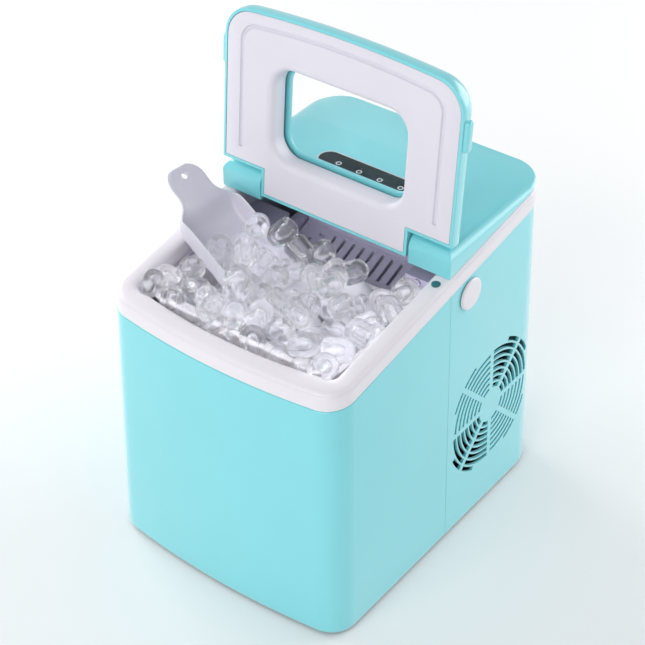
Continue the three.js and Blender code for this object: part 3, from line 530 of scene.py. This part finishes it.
def arc_prism(start, end, inner, outer, low, high):
    """A bent bar in the plane of the side wall, from x = low to x = high."""
    steps = 10
    outline = arc(VENT_Y, VENT_Z, outer, start, end, steps) + arc(VENT_Y, VENT_Z, inner, end, start, steps)
    return [[(x, y, z) for y, z in outline] for x in (low, high)]


def vent_bars():
    """The openings of the round fan grille: wide in two opposite quarters, narrow in the others."""
    bars = []
    eighth = math.pi / 4
    for sector in range(8):
        thick = VENT_WIDE if sector // 2 % 2 == 0 else VENT_NARROW
        for ring in range(VENT_RINGS):
            inner = VENT_HUB + ring * VENT_PITCH
            margin = 2.2 / inner
            bars.append((sector * eighth + margin, (sector + 1) * eighth - margin, inner, inner + thick))
    for quarter in range(4):
        middle = (quarter + 0.5) * 2 * eighth
        inner = VENT_HUB + VENT_RINGS * VENT_PITCH
        thick = VENT_WIDE if quarter % 2 == 0 else VENT_NARROW
        bars.append((middle + 0.04, middle + 0.36, inner, inner + thick))
        bars.append((middle - 0.36, middle - 0.04, inner, inner + thick))
    return [loft("bar", arc_prism(*bar, 100, 130)) for bar in bars]


def louvre_tools():
    """The slots in the left side and in the rear wall, as cutting tools."""
    half = LOUVRE_GAP / 2
    tools = []
    for i in range(10):
        z = VENT_Z + (i - 4.5) * LOUVRE_PITCH
        tools.append(block("louvre", (-130, VENT_Y - 34, z - half), (-95, VENT_Y + 34, z + half)))
    for i in range(12):
        z = LOUVRE_REAR_Z + (i - 5.5) * LOUVRE_PITCH
        tools.append(block("louvre", (-60, 130, z - half), (60, 170, z + half)))
    return tools


def along_y(name, profile, x, z):
    """A closed profile of (radius, distance behind the rear wall) turned about an axis along y."""
    turned = lathe(name, profile, 32)
    turned.data.transform(Matrix.Rotation(-math.pi / 2, 4, "X"))
    turned.data.transform(Matrix.Translation(Vector((x, rear_face(z), z)) * MM))
    return turned


def along_x(name, profile, x, y, z, side):
    """A closed profile of (radius, distance out from x) turned about an axis along x."""
    turned = lathe(name, [(r, side * out) for r, out in profile])
    turned.data.transform(Matrix.Rotation(math.pi / 2, 4, "Y"))
    turned.data.transform(Matrix.Translation(Vector((x, y, z)) * MM))
    return turned


def housing():
    finish_piece(shell("front_wall", front_path), "housing", TURQUOISE, "turquoise_plastic", "front_shell")
    rear = shell("rear_wall", rear_path)
    holes = [along_y("hole", [(0, -9), (radius, -9), (radius, 3), (0, 3)], x, BORE_Z)
             for x, radius in ((-BORE_X, INLET_BORE), (BORE_X, SPOUT_BORE))]
    cut(rear, merge("vent_tool", vent_bars()))
    cut(rear, merge("louvre_tool", louvre_tools()))
    cut(rear, merge("hole_tool", holes))
    cut(rear, rod("cap_hole", CAP_BORE, -130, 130, (CAP_Y, CAP_Z), 24))
    finish_piece(rear, "housing", TURQUOISE, "turquoise_plastic", "rear_shell")
    finish_piece(rim(), "housing", WHITE, "white_plastic", "top_frame", degrees=50)
    for side in (-1, 1):
        finish_piece(side_cap(side), "housing", WHITE, "white_plastic",
                     "side_cap_right" if side > 0 else "side_cap_left")


def rim():
    """The white top frame: a soft outer face with a crease, and a rounded top."""
    profile = [(0.7, 0), (0.1, 0.5), (0, 1.2), (0, 11.6), (0.25, 12.1), (0.9, 12.5), (1.0, 12.9), (0.8, 13.3),
               (1.1, 14.0), (1.9, 14.9), (3.1, 15.6), (4.8, 16), (10.5, 16), (12.6, 15.8), (14.2, 15.1),
               (15.3, 14.0), (15.9, 12.4), (16, 10.5), (16, 0.8), (15.4, 0)]
    outlines = [footprint(inset, rear_radius=REAR_CORNER - min(inset, 15)) for inset, _ in profile]
    rings = []
    for i in range(len(outlines[0])):
        rings.append([(*outline[i], rim_z(outline[i][1], z)) for outline, (_, z) in zip(outlines, profile)])
    return loft("top_rim", rings, loop=True)


def side_cap(side):
    face = side_face(CAP_Z)
    profile = [(0, -8), (4, -8), (4, GAP), (CAP_RADIUS - 0.8, GAP), (CAP_RADIUS, 0.8), (CAP_RADIUS, 1.2),
               (CAP_RADIUS - 0.4, 1.9), (CAP_RADIUS - 1.3, 2.4), (CAP_RADIUS - 3, 2.5), (0, 2.5)]
    name = "round_cap_right" if side > 0 else "round_cap_left"
    return along_x(name, profile, side * face, CAP_Y, CAP_Z, side)


# ---- rear deck -----------------------------------------------------------------------------------
def rear_deck():
    """The domed cover behind the lid, with two shoulders that hold its hinge."""
    rings = []
    for inset, z in [(0.8, 0), (0, 0.8)] + quarter_round(DECK_EDGE, DECK_TOP, 12):
        outline = footprint(1.2 + inset, max(2, FRONT_CORNER - 1.2 - inset), REAR_CORNER - 1.2 - inset)
        ring = []
        for x, y in outline:
            low = rim_z(y, RIM_THICK + GAP)
            if z < 1:
                ring.append((x, y, low + z))
            else:
                share = (z - DECK_TOP + DECK_EDGE) / DECK_EDGE
                start = max(low + 1, DECK_TOP - DECK_EDGE)
                ring.append((x, y, start + share * (DECK_TOP - start)))
        rings.append(ring)
    deck = loft("deck", rings)
    cut(deck, block("ahead", (-300, -300, 100), (300, DECK_FRONT, 400)))
    middle = TONGUE_HALF + 1.5
    corner = 3
    recess = rounded_rect(-middle, -300, middle, DECK_MIDDLE_FRONT, corner, 6)
    cut(deck, prism("middle", recess, 100, 400))
    hollow = prism("hollow", footprint(DECK_EDGE), 200, DECK_TOP - 3)
    cut(hollow, block("front", (-300, -300, 0), (300, DECK_MIDDLE_FRONT + 3, 500)))
    cut(hollow, block("back", (-300, DECK_BACK_BLOCK, 0), (300, 300, 500)))
    cut(deck, hollow)
    barrel = HINGE.y - DECK_FRONT
    turns = [math.pi / 2 * i / 12 for i in range(13)]
    above = [(HINGE.y - barrel * math.cos(t), HINGE.z + barrel * math.sin(t)) for t in turns]
    above = [(DECK_FRONT - 2, HINGE.z)] + above + [(HINGE.y, DECK_TOP + 2), (DECK_FRONT - 2, DECK_TOP + 2)]
    cut(deck, loft("barrel", [[(x, y, z) for y, z in above] for x in (-200, 200)]))
    cut(deck, rod("pins", PIN_HOLE, -84, 84, (HINGE.y, HINGE.z)))
    cut(deck, prism("pocket", pill(GAP), DECK_TOP - 1.4, 300))
    finish_piece(deck, "housing", TURQUOISE, "turquoise_plastic", "rear_deck", degrees=40)


def pill(grow):
    """The outline of the control panel, grown by some distance."""
    radius = PANEL_RADIUS + grow
    half = PANEL_HALF + grow
    return rounded_rect(-half, PANEL_Y - radius, half, PANEL_Y + radius, radius - 0.01, 16)


def stud_x(i):
    return (i - (STUDS - 1) / 2) * RING_PITCH


def control_panel():
    """The glossy black strip, its pale outline and the four ringed studs in it."""
    levels = [(0, DECK_TOP - 1.1), (0, DECK_TOP + 0.1), (0.15, DECK_TOP + 0.35), (0.5, DECK_TOP + 0.5)]
    strip = loft("panel_strip", [[(x, y, z) for x, y in pill(-inset)] for inset, z in levels])
    holes = []
    for i in range(STUDS):
        holes.append(stud_shape("hole", stud_x(i), [(0, -3), (3.5, -3), (3.5, 3), (0, 3)]))
    cut(strip, merge("stud_holes", holes))
    finish_piece(strip, "housing", BLACK, "panel_black", "control_panel")
    profile = [(0.1, -0.5), (0.9, -0.5), (0.9, 0.25), (0.7, 0.4), (0.3, 0.4), (0.1, 0.25)]
    outlines = [pill(GAP + out - 0.1) for out, _ in profile]
    rings = [[(*outline[i], DECK_TOP + z) for outline, (_, z) in zip(outlines, profile)]
             for i in range(len(outlines[0]))]
    finish_piece(loft("panel_outline", rings, loop=True), "housing", WHITE, "white_plastic")
    studs = [("power_button", "power_key", 0.9, "white_plastic"),
             ("indicator_left", "housing", 0.5, "lamp_lens"),
             ("indicator_right", "housing", 0.5, "lamp_lens"),
             ("select_button", "select_key", 0.9, "white_plastic")]
    for i, (name, body, proud, slot) in enumerate(studs):
        stud(name, body, slot, stud_x(i), proud)


def stud_shape(name, x, profile):
    shape = lathe(name, profile, 28)
    shape.data.transform(Matrix.Translation(Vector((x, RING_Y, DECK_TOP)) * MM))
    return shape


def stud(name, body, slot, x, proud):
    """A black stud with a pale ring on it."""
    cap = stud_shape(name + "_cap", x, [(0, -6), (3.1, -6), (3.1, proud - 0.5), (2.9, proud - 0.25),
                                        (2.6, proud - 0.2), (0, proud - 0.2)])
    finish_piece(cap, body, BLACK, slot, name)
    ring = stud_shape(name + "_ring", x, [(1.55, proud - 0.4), (2.45, proud - 0.4), (2.45, proud - 0.05),
                                          (2.25, proud), (1.75, proud), (1.55, proud - 0.05)])
    finish_piece(ring, body, LAMP, slot)


# ---- lid, built closed in its own frame: y runs back from the hinge axis, z is up ----------------
def lid_outline(inset):
    return bowed_outline(LID_HALF - inset, -LID_FRONT + inset, 60, LID_BOW, LID_CORNER - inset, 18)


def domed_lid(name, inset, top):
    edge = DECK_EDGE - inset
    levels = [(0.8, LID_UNDER), (0.2, LID_UNDER + 0.3), (0, LID_UNDER + 1)] + quarter_round(edge, top, 12)
    if inset:
        levels = [(0, LID_UNDER - 5)] + quarter_round(edge, top, 12)
    return loft(name, [[(x, y, z) for x, y in lid_outline(inset + step)] for step, z in levels])


def window_outline(grow):
    return rounded_rect(-WINDOW_HALF - grow, -WINDOW_FAR - grow, WINDOW_HALF + grow, -WINDOW_NEAR + grow,
                        WINDOW_CORNER + grow, 12)


def window_ring(name, profile):
    """A closed cross-section of (growth, height) swept round the window."""
    outlines = [window_outline(grow) for grow, _ in profile]
    rings = [[(*outline[i], z) for outline, (_, z) in zip(outlines, profile)]
             for i in range(len(outlines[0]))]
    return loft(name, rings, loop=True)


def open_lid(obj):
    """Turns a piece built in the lid's own frame to where the open lid stands."""
    turn = Matrix.Rotation(LID_CLOSED - LID_TRAVEL, 4, "X")
    obj.data.transform(Matrix.Translation(HINGE * MM) @ turn)
    return obj


def lid_tab(side):
    """The small grip on the side of the lid."""
    low, high = LID_UNDER + 1.5, LID_UNDER + 9
    sections = [(103, 0), (111.4, 0), (112.6, 0.6), (113, 1.6)]
    rings = []
    for x, inset in sections:
        outline = rounded_rect(-118 + inset, low + inset, -92.5 - inset, high - inset, 3 - inset, 6)
        rings.append([(side * x, y, z) for y, z in outline])
    return loft("tab", rings)


def lid_shell():
    lid = domed_lid("lid_cover", 0, LID_OVER)
    cut(lid, block("end", (-200, 0.2, -50), (200, 100, 50)))
    for side in (-1, 1):
        low, high = sorted((side * TONGUE_HALF, side * 200))
        cut(lid, block("wing", (low, -NOTCH, -50), (high, 100, 50)))
        unite(lid, lid_tab(side))
    barrel = rod("barrel", LID_OVER - 0.02, -TONGUE_HALF + 0.02, TONGUE_HALF - 0.02, (0, 0), 64)
    lip = block("lip", (-TONGUE_HALF + 0.04, -1, LID_UNDER + 0.02), (TONGUE_HALF - 0.04, -TONGUE_BACK, -3))
    unite(lid, unite(barrel, lip))
    cut(lid, rod("pin_hole", PIN_HOLE, -90, 90, (0, 0)))
    inside = domed_lid("inside", LID_SKIN, LID_OVER - LID_SKIN)
    cut(inside, block("inner_end", (-200, -NOTCH - LID_SKIN, -50), (200, 100, 50)))
    cut(lid, inside)
    reach = TONGUE_HALF - LID_SKIN
    tongue_front, tongue_back = -NOTCH - LID_SKIN - 1, -TONGUE_BACK - LID_SKIN
    cut(lid, block("tongue_inside", (-reach, tongue_front, -30), (reach, tongue_back, 4)))
    cut(lid, prism("window_hole", window_outline(-2), -50, 50))
    open_lid(lid)
    finish_piece(lid, "lid", TURQUOISE, "turquoise_plastic", "lid_shell", degrees=40)
    profile = [(-2.6, 8.2), (-1.9, 8.05), (-1.7, 8.2), (-1.7, 10.3),
               (-1.9, 10.75), (-2.6, 10.9), (-3.0, 10.5), (-3.0, 8.6)]
    trim = open_lid(window_ring("window_trim", profile))
    finish_piece(trim, "lid", TURQUOISE, "turquoise_plastic", degrees=60)


def lid_liner():
    """The pale inner face of the lid: a plate with a groove round it and a deep window recess."""
    inset = LID_SKIN + GAP
    levels = [(0.7, LID_UNDER), (0.2, LID_UNDER + 0.2), (0, LID_UNDER + 0.7), (0, LID_UNDER + 3.2)]
    plate = loft("liner", [[(x, y, z) for x, y in lid_outline(inset + step)] for step, z in levels])
    back = NOTCH + inset
    reach = TONGUE_HALF - inset
    cut(plate, block("end", (-200, -TONGUE_BACK - inset, -50), (200, 100, 50)))
    for side in (-1, 1):
        low, high = sorted((side * reach, side * 200))
        cut(plate, block("wing", (low, -back, -50), (high, 100, 50)))
    fillet = 5.2
    cut(plate, prism("recess", window_outline(fillet), -50, 50))
    cut(plate, groove_tool())
    steps = 8
    turns = [math.pi / 2 * i / steps for i in range(steps + 1)]
    curve = [(fillet * (1 - math.sin(t)), LID_UNDER + fillet * (1 - math.cos(t))) for t in turns]
    profile = curve + [(0, 4.6), (0.3, 5.2), (2, 5.2), (2, LID_UNDER + 7), (fillet, LID_UNDER + 3.2)]
    collar = window_ring("collar", profile)
    liner = open_lid(merge("lid_liner_face", [plate, collar]))
    finish_piece(liner, "lid", LINER, "liner_plastic", "lid_liner", degrees=40)


def groove_tool():
    """The shallow U-shaped groove, as a cutting tool."""
    profile = [(-0.7, -1), (0.0, 0.3), (0.5, 1.6), (1.6, 2.2), (2.7, 1.6), (3.2, 0.3), (3.9, -1)]
    outlines = [bowed_outline(93.8 - step, -139 + step, 60 - step, LID_BOW, 17 - step, 18 - step)
                for step, _ in profile]
    rings = [[(*outline[i], LID_UNDER + z) for outline, (_, z) in zip(outlines, profile)]
             for i in range(len(outlines[0]))]
    groove = loft("groove", rings, loop=True)
    cut(groove, block("beyond", (-200, -27.2, -50), (200, 100, 50)))
    return groove


def lid_window():
    levels = [(0.3, 5.5), (0, 5.8), (0, 7.4), (0.3, 7.7)]
    pane = loft("window_pane", [[(x, y, z) for x, y in window_outline(4.5 - inset)] for inset, z in levels])
    finish_piece(open_lid(pane), "lid", PANE, "clear_window", "lid_window")


# ---- basket and scoop ----------------------------------------------------------------------------
def basket_scale(z):
    """How much narrower the basket is at a height than at its top."""
    return 1 - BASKET_TAPER * (BASKET_TOP - z) / (BASKET_TOP - BASKET_FLOOR)


def basket_outline(inset, z):
    half = BASKET_HALF - inset
    front, back = BASKET_FRONT + inset, BASKET_BACK - inset
    outline = rounded_rect(-half, front, half, back, BASKET_CORNER - inset)
    middle = (BASKET_FRONT + BASKET_BACK) / 2
    scale = basket_scale(z)
    return [(x * scale, middle + (y - middle) * scale, z) for x, y in outline]


def ice_basket():
    top, floor, wall = BASKET_TOP, BASKET_FLOOR, BASKET_WALL
    profile = [(4, floor), (1.2, floor + 0.8), (0, floor + 4), (0, top - 3.6), (-0.3, top - 2.7),
               (-2.2, top - 2.5), (-2.6, top - 2.0), (-2.6, top - 0.6), (-2.0, top), (1.4, top),
               (wall, top - 0.8), (wall, floor + 6), (3.4, floor + 3), (6, floor + 2.2)]
    basket = loft("basket", [basket_outline(inset, z) for inset, z in profile])
    drains = []
    for row in range(3):
        z = 150 + (row - 1) * 22
        for y in (-86, -60, -34):
            drains.append(block("drain", (-120, y - 5, z - 1.3), (120, y + 5, z + 1.3)))
    for x in (-60, -36, -12, 12, 36, 60):
        drains.append(block("drain", (x - 1.5, -95, 90), (x + 1.5, -25, 115)))
    cut(basket, merge("drains", drains))
    for side in (-1, 1):
        low, high = sorted((side * (BASKET_HALF - 1), side * (BASKET_HALF + BASKET_FLANGE)))
        ear = rounded_rect(low, -94, high, -26, 3, 6)
        unite(basket, prism("ear", ear, top - 2.3, top - 0.2))
    finish_piece(basket, "basket", WHITE, "white_plastic", "ice_basket", degrees=40)


def scoop_matrix():
    turn = Matrix.Rotation(SCOOP_TURN, 4, "Z") @ Matrix.Rotation(SCOOP_TILT, 4, "Y")
    return Matrix.Translation(SCOOP_ORIGIN) @ turn


def scoop_section(x, half, floor, wall):
    """One cross-section of the scoop's skin: up one side wall, across the floor and up the other."""
    bend = 4.0
    right = [(half, floor + wall), (half, floor + wall * 0.5),
             (half - 0.3, floor + min(bend, wall * 0.4)), (half - bend, floor + 0.15), (half * 0.45, floor)]
    left = [(-y, z) for y, z in reversed(right)]
    return [(x, y, z) for y, z in right + left]


def ice_scoop():
    """A thick skin over cross-sections of (distance along, half width, floor height, wall height)."""
    end, rise, half, deep = SCOOP_HANDLE, SCOOP_RISE, SCOOP_HALF, SCOOP_DEEP
    handle = [(-end - 1, 9, rise + 3.2, 0.6), (-end + 2.5, 14.2, rise + 2.9, 1.4),
              (-end + 9, 17.4, rise + 2.4, 2.2), (-30, 17.8, rise + 1.5, 2.6), (-22, 17.0, rise + 0.7, 2.9)]
    shoulder = [(-16, 19.6, rise, 3.3), (-11.5, 25.5, rise - 2.0, 4.6), (-7.5, 29, rise - 6, 8.2),
                (-3.5, 30.3, 3.6, deep - 5.2), (1, half, 0.9, deep - 1.3), (8, half, 0.1, deep)]
    bowl = [(35, half, 0, deep), (65, half, 0, deep), (76, half, 0, deep - 3), (86, half, 0, deep - 8.5),
            (94, 30.4, 0, 5.5), (SCOOP_LENGTH, 30.2, 0, 1.2)]
    stations = handle + shoulder + bowl
    sections = [scoop_section(*station) for station in stations]
    count = len(sections[0])
    points = [point for section in sections for point in section]
    faces = []
    for i in range(len(sections) - 1):
        for j in range(count - 1):
            a = i * count + j
            faces.append((a, a + 1, a + count + 1, a + count))
    scoop = mesh_object("scoop", points, faces)
    thicken = scoop.modifiers.new("thicken", "SOLIDIFY")
    thicken.thickness = SCOOP_WALL * MM
    thicken.offset = -1
    rounding = scoop.modifiers.new("rounding", "SUBSURF")
    rounding.levels = rounding.render_levels = 2
    bpy.context.view_layer.objects.active = scoop
    for modifier in list(scoop.modifiers):
        bpy.ops.object.modifier_apply(modifier=modifier.name)
    hole = lathe("hole", [(0, -10), (2.8, -10), (2.8, 40), (0, 40)], 28)
    hole.data.transform(Matrix.Translation(Vector((-end + 8, 0, 0)) * MM))
    cut(scoop, hole)
    place = scoop_matrix()
    place.translation *= MM
    scoop.data.transform(place)
    finish_piece(scoop, "scoop", SCOOP, "white_plastic", "ice_scoop", degrees=60)


# ---- ice -----------------------------------------------------------------------------------------
def bullet_profile():
    """(radius, height) of a hollow bullet: a round nose below, a rounded rim and a deep bore above."""
    r, length, bore = ICE_RADIUS, ICE_LENGTH, ICE_BORE
    nose = [(r * math.sin(t), r * (1 - math.cos(t))) for t in (0.02, 0.35, 0.7, 1.05, 1.35)]
    rim = [(r, length - 3.4), (r - 0.5, length - 1.4), (r - 1.9, length - 0.2), (bore + 1.7, length),
           (bore + 0.5, length - 0.6), (bore, length - 2.2)]
    inner = [(bore - 0.5, 11), (bore - 1.6, 8.2), (0.02, 7.2)]
    return nose + rim + inner


def bullet_rings(profile, scale, sides):
    rings = []
    for radius, height in profile:
        wide, high = radius * scale[0], (height - ICE_LENGTH / 2) * scale[1]
        angles = [2 * math.pi * i / sides for i in range(sides)]
        rings.append([(wide * math.cos(a), wide * math.sin(a), high) for a in angles])
    return rings


def bullet(name, scale):
    """A bullet along z about its middle, with a closed nose and a closed bottom to its bore."""
    return loft(name, bullet_rings(bullet_profile(), scale, ICE_SIDES))


def bullet_hull(name, scale):
    """The simple solid that stands for a bullet while the heap settles."""
    r = ICE_RADIUS
    profile = [(r * 0.35, 0), (r * 0.8, 2.2), (r, 8), (r, 21), (r * 0.85, ICE_LENGTH)]
    return loft(name, bullet_rings(profile, scale, 8))


def in_scoop(point):
    """A point of the row frame, in the scoop's own frame."""
    return scoop_matrix().inverted() @ Vector(point)


def ice_starts(rng):
    """Where the bullets start from: layers over the basket, a row at its front, a column over the scoop."""
    def jitter():
        return rng.uniform(-ICE_JITTER, ICE_JITTER)

    starts = []
    for layer in range(ICE_LAYERS):
        for column in range(ICE_COLUMNS):
            for row in range(ICE_ROWS):
                x = -69 + column * 23 + jitter()
                y = -99 + row * 25 + jitter()
                z = ICE_FLOOR + 14 + layer * 26 + jitter()
                local = in_scoop((x, y, z))
                if not (-70 < local.x < 112 and abs(local.y) < 44 and -18 < local.z < 90):
                    starts.append((x, y, z))
    for column in range(FRONT_ROW):
        starts.append((-80 + column * 23, -119, 260 + jitter()))
    for i in range(SCOOP_LOAD):
        along, across, above = 30 + i % 3 * 22, -14 + i // 3 % 2 * 28, 18 + i // 6 * 45
        starts.append(tuple(scoop_matrix() @ Vector((along, across, above))))
    return starts


def walls():
    """Boxes that hold the ice while it settles: the basket, and the tank's walls above it."""
    left, right = -83.5, 83.5
    front, back = -111.5, -8.5
    basket = [((-110, -140, ICE_FLOOR - 20), (110, 20, ICE_FLOOR)),
              ((left - 20, -140, ICE_FLOOR), (left, 20, BASKET_TOP)),
              ((right, -140, ICE_FLOOR), (right + 20, 20, BASKET_TOP)),
              ((-110, front - 24, ICE_FLOOR), (110, front, BASKET_TOP - 11)),
              ((-110, back, ICE_FLOOR), (110, back + 20, BASKET_TOP))]
    high = 330
    tank = [((-112, -140, BASKET_TOP), (-93, 20, high)),
            ((93, -140, BASKET_TOP), (112, 20, high)),
            ((-110, -146, BASKET_TOP), (110, -127, high)),
            ((-110, -4, BASKET_TOP), (110, 16, high))]
    return basket + tank


def scaled(obj, factor):
    obj.data.transform(Matrix.Scale(factor, 4))
    return obj


def fixed_copy(obj):
    """A copy of a piece, out of its body, for the bullets to fall on."""
    copy = obj.copy()
    copy.data = copy.data.copy()
    bpy.context.scene.collection.objects.link(copy)
    copy.parent = None
    copy.matrix_world = Matrix.Identity(4)
    return scaled(copy, ICE_SCALE)


def add_bodies(group, kind, shape):
    bpy.ops.object.select_all(action="DESELECT")
    for obj in group:
        obj.select_set(True)
    bpy.context.view_layer.objects.active = group[0]
    bpy.ops.rigidbody.objects_add(type=kind)
    for obj in group:
        body = obj.rigid_body
        body.collision_shape = shape
        body.friction = 0.35
        body.restitution = 0.02
        body.use_margin = True
        body.collision_margin = 0.004
        body.linear_damping = 0.15
        body.angular_damping = 0.3


def settle(starts, sizes, rng):
    """Drops the bullets into the basket and returns where each one comes to rest, as matrices in metres."""
    scene = bpy.context.scene
    bpy.ops.rigidbody.world_add()
    world = scene.rigidbody_world
    world.substeps_per_frame = 8
    world.solver_iterations = 16
    world.point_cache.frame_end = ICE_FRAMES
    fixed = [scaled(block("wall", low, high), ICE_SCALE) for low, high in walls()]
    fixed.append(fixed_copy(bpy.data.objects["scoop"]))
    loose = []
    for start, size in zip(starts, sizes):
        hull = scaled(bullet_hull("hull", size), ICE_SCALE)
        hull.location = Vector(start) * MM * ICE_SCALE
        hull.rotation_euler = [rng.uniform(0, 2 * math.pi) for _ in range(3)]
        loose.append(hull)
    add_bodies(fixed, "PASSIVE", "MESH")
    add_bodies(loose, "ACTIVE", "CONVEX_HULL")
    for number in range(1, ICE_FRAMES + 1):
        scene.frame_set(number)
    graph = bpy.context.evaluated_depsgraph_get()
    rest = []
    for obj in loose:
        matrix = obj.evaluated_get(graph).matrix_world.copy()
        matrix.translation /= ICE_SCALE
        rest.append(matrix)
    for obj in fixed + loose:
        bpy.data.objects.remove(obj)
    bpy.ops.rigidbody.world_remove()
    scene.frame_set(1)
    return rest


def on_scoop(place):
    local = in_scoop(place)
    return 8 < local.x < 97 and abs(local.y) < SCOOP_HALF and 0 < local.z < 34


def out_of_place(place):
    """Whether a bullet came to rest outside the basket, or too high on the heap."""
    strayed = place.z < ICE_FLOOR or abs(place.x) > 85 or not -126 < place.y < -8
    return strayed or (place.z > ICE_TOP and not on_scoop(place))


def ice():
    rng = random.Random(ICE_SEED)
    starts = ice_starts(rng)
    sizes = [(rng.uniform(0.93, 1.05), rng.uniform(0.85, 1.08)) for _ in starts]
    rest = settle(starts, sizes, rng)
    scoop_load, heap = [], []
    for matrix, size in zip(rest, sizes):
        place = matrix.translation / MM
        if out_of_place(place):
            continue
        piece = bullet("bullet", size)
        piece.data.transform(matrix)
        if pokes_out(piece):
            bpy.data.objects.remove(piece)
        elif on_scoop(place):
            scoop_load.append(piece)
        else:
            heap.append((piece, place))
    front, seen, covered = split_heap(heap)
    heap_piece("ice_top_layer", seen, ICE)
    # The covered bullets get the pale ice, whose brightness is painted.
    heap_piece("ice_below", covered, PAINTED_BRIGHT_ICE)
    heap_piece("ice_at_front", front, ICE)
    load = merge("ice_in_scoop", scoop_load)
    finish_piece(load, "scoop", ICE, "clear_window", degrees=180)
    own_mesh(load)


def pokes_out(piece):
    """Whether a bullet reaches through a flat side of the basket, well below its rim."""
    middle = (BASKET_FRONT + BASKET_BACK) / 2
    for vertex in piece.data.vertices:
        x, y, z = vertex.co / MM
        scale = basket_scale(z)
        past = max(abs(x) - BASKET_HALF * scale, abs(y - middle) - (BASKET_BACK - middle) * scale)
        if z < BASKET_TOP - 14 and past > -0.4:
            return True
    return False


def heap_piece(name, pieces, material):
    """Part of the heap in the basket."""
    heap = merge(name, pieces)
    finish_piece(heap, "basket", material, "clear_window", degrees=180)
    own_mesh(heap)


def split_heap(placed):
    """The bullets that overhang the basket's front, those at the top of the heap, and those under others."""
    front, seen, covered = [], [], []
    for piece, place in placed:
        over = [other for _, other in placed
                if other.z > place.z + COVER_RISE and (other - place).xy.length < COVER_REACH]
        group = front if place.y < OVERHANG_Y else covered if over else seen
        group.append(piece)
    return front, seen, covered


# ---- the nodes that are shown as they are --------------------------------------------------------
CAD_LOOKS = {
    TANK: ["inner_tank"],
    LAVENDER: ["ice_shovel", "ice_full_sensor", "shovel_rail_left"],
    WHITE: ["shovel_rail_right", "water_tray", "tray_bearing", "drain_spout"],
    MATT_BLACK: ["fan_shroud", "fan_motor", "fan_rotor", "water_pump", "tray_motor", "power_inlet"],
    RUBBER: ["foot_front_left", "foot_front_right", "foot_rear_left", "foot_rear_right", "drain_plug",
             "compressor_mount_1", "compressor_mount_2", "compressor_mount_3", "compressor_mount_4"],
    TEAL_RUBBER: ["lid_bumper_left", "lid_bumper_right"],
    ENAMEL: ["compressor", "base_pan"],
    STEEL: ["base_screw_front_left", "base_screw_front_right", "base_screw_rear_left",
            "base_screw_rear_right", "hinge_pin_left", "hinge_pin_right"],
    PLATED: ["evaporator"],
    ALUMINIUM: ["condenser"],
    COPPER: ["discharge_tube", "suction_tube", "filter_drier"],
    HOSE: ["pump_hose"],
    BOARD: ["control_board"],
}


def dress_nodes():
    for material, names in CAD_LOOKS.items():
        for name in names:
            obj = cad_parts[name]
            obj.data.materials.clear()
            obj.data.materials.append(material)
            soften(obj)


# ---- stage ---------------------------------------------------------------------------------------
LAMP_AIM = Vector((0, 0, 0.17))
FLOOR_REACH = 3000


def floor():
    stage = block("floor", (-FLOOR_REACH, -FLOOR_REACH, -20), (FLOOR_REACH, FLOOR_REACH, 0))
    material, _, shader = new_material("floor")
    shader.inputs["Base Color"].default_value = (0.93, 0.93, 0.93, 1)
    shader.inputs["Roughness"].default_value = 0.9
    stage.data.materials.append(material)


def softbox(name, place, size, power):
    """A rectangular lamp that faces the object. Places and sizes are in metres."""
    light = bpy.data.lights.new(name, "AREA")
    light.shape = "RECTANGLE"
    light.size, light.size_y = size
    light.energy = power
    obj = bpy.data.objects.new(name, light)
    bpy.context.scene.collection.objects.link(obj)
    obj.location = place
    obj.rotation_euler = (LAMP_AIM - Vector(place)).to_track_quat("-Z", "Y").to_euler()


def lights():
    world = bpy.data.worlds.new("world")
    bpy.context.scene.world = world
    world.use_nodes = True
    background = world.node_tree.nodes["Background"]
    background.inputs["Color"].default_value = (0.95, 0.97, 1.0, 1)
    background.inputs["Strength"].default_value = 0.5
    softbox("left_softbox", (-1.63, 0, 0.91), (1.5, 1.3), 19)
    softbox("front_softbox", (0.14, -1.55, 1.05), (1.3, 1.2), 12)
    softbox("right_softbox", (0.80, 1.50, 0.70), (1.4, 1.2), 18)
    bpy.context.scene.view_settings.view_transform = "Standard"


def camera():
    """The photograph's viewpoint."""
    azimuth, elevation, roll = math.radians(37.591), math.radians(36.841), math.radians(-0.340)
    target = Vector((-17.580, 7.181, 180.398)) * MM
    distance = 1.4358
    back = Vector((math.sin(azimuth) * math.cos(elevation), -math.cos(azimuth) * math.cos(elevation),
                   math.sin(elevation)))
    data = bpy.data.cameras.new("camera")
    data.sensor_width = 36
    data.lens = 98.835
    data.shift_x = 0.00718
    data.shift_y = -0.02434
    obj = bpy.data.objects.new("camera", data)
    bpy.context.scene.collection.objects.link(obj)
    turn = (-back).to_track_quat("-Z", "Y").to_matrix().to_4x4() @ Matrix.Rotation(roll, 4, "Z")
    obj.matrix_world = Matrix.Translation(target + back * distance) @ turn
    bpy.context.scene.camera = obj


camera()
floor()
lights()
housing()
rear_deck()
control_panel()
lid_shell()
lid_liner()
lid_window()
ice_basket()
ice_scoop()
ice()
dress_nodes()
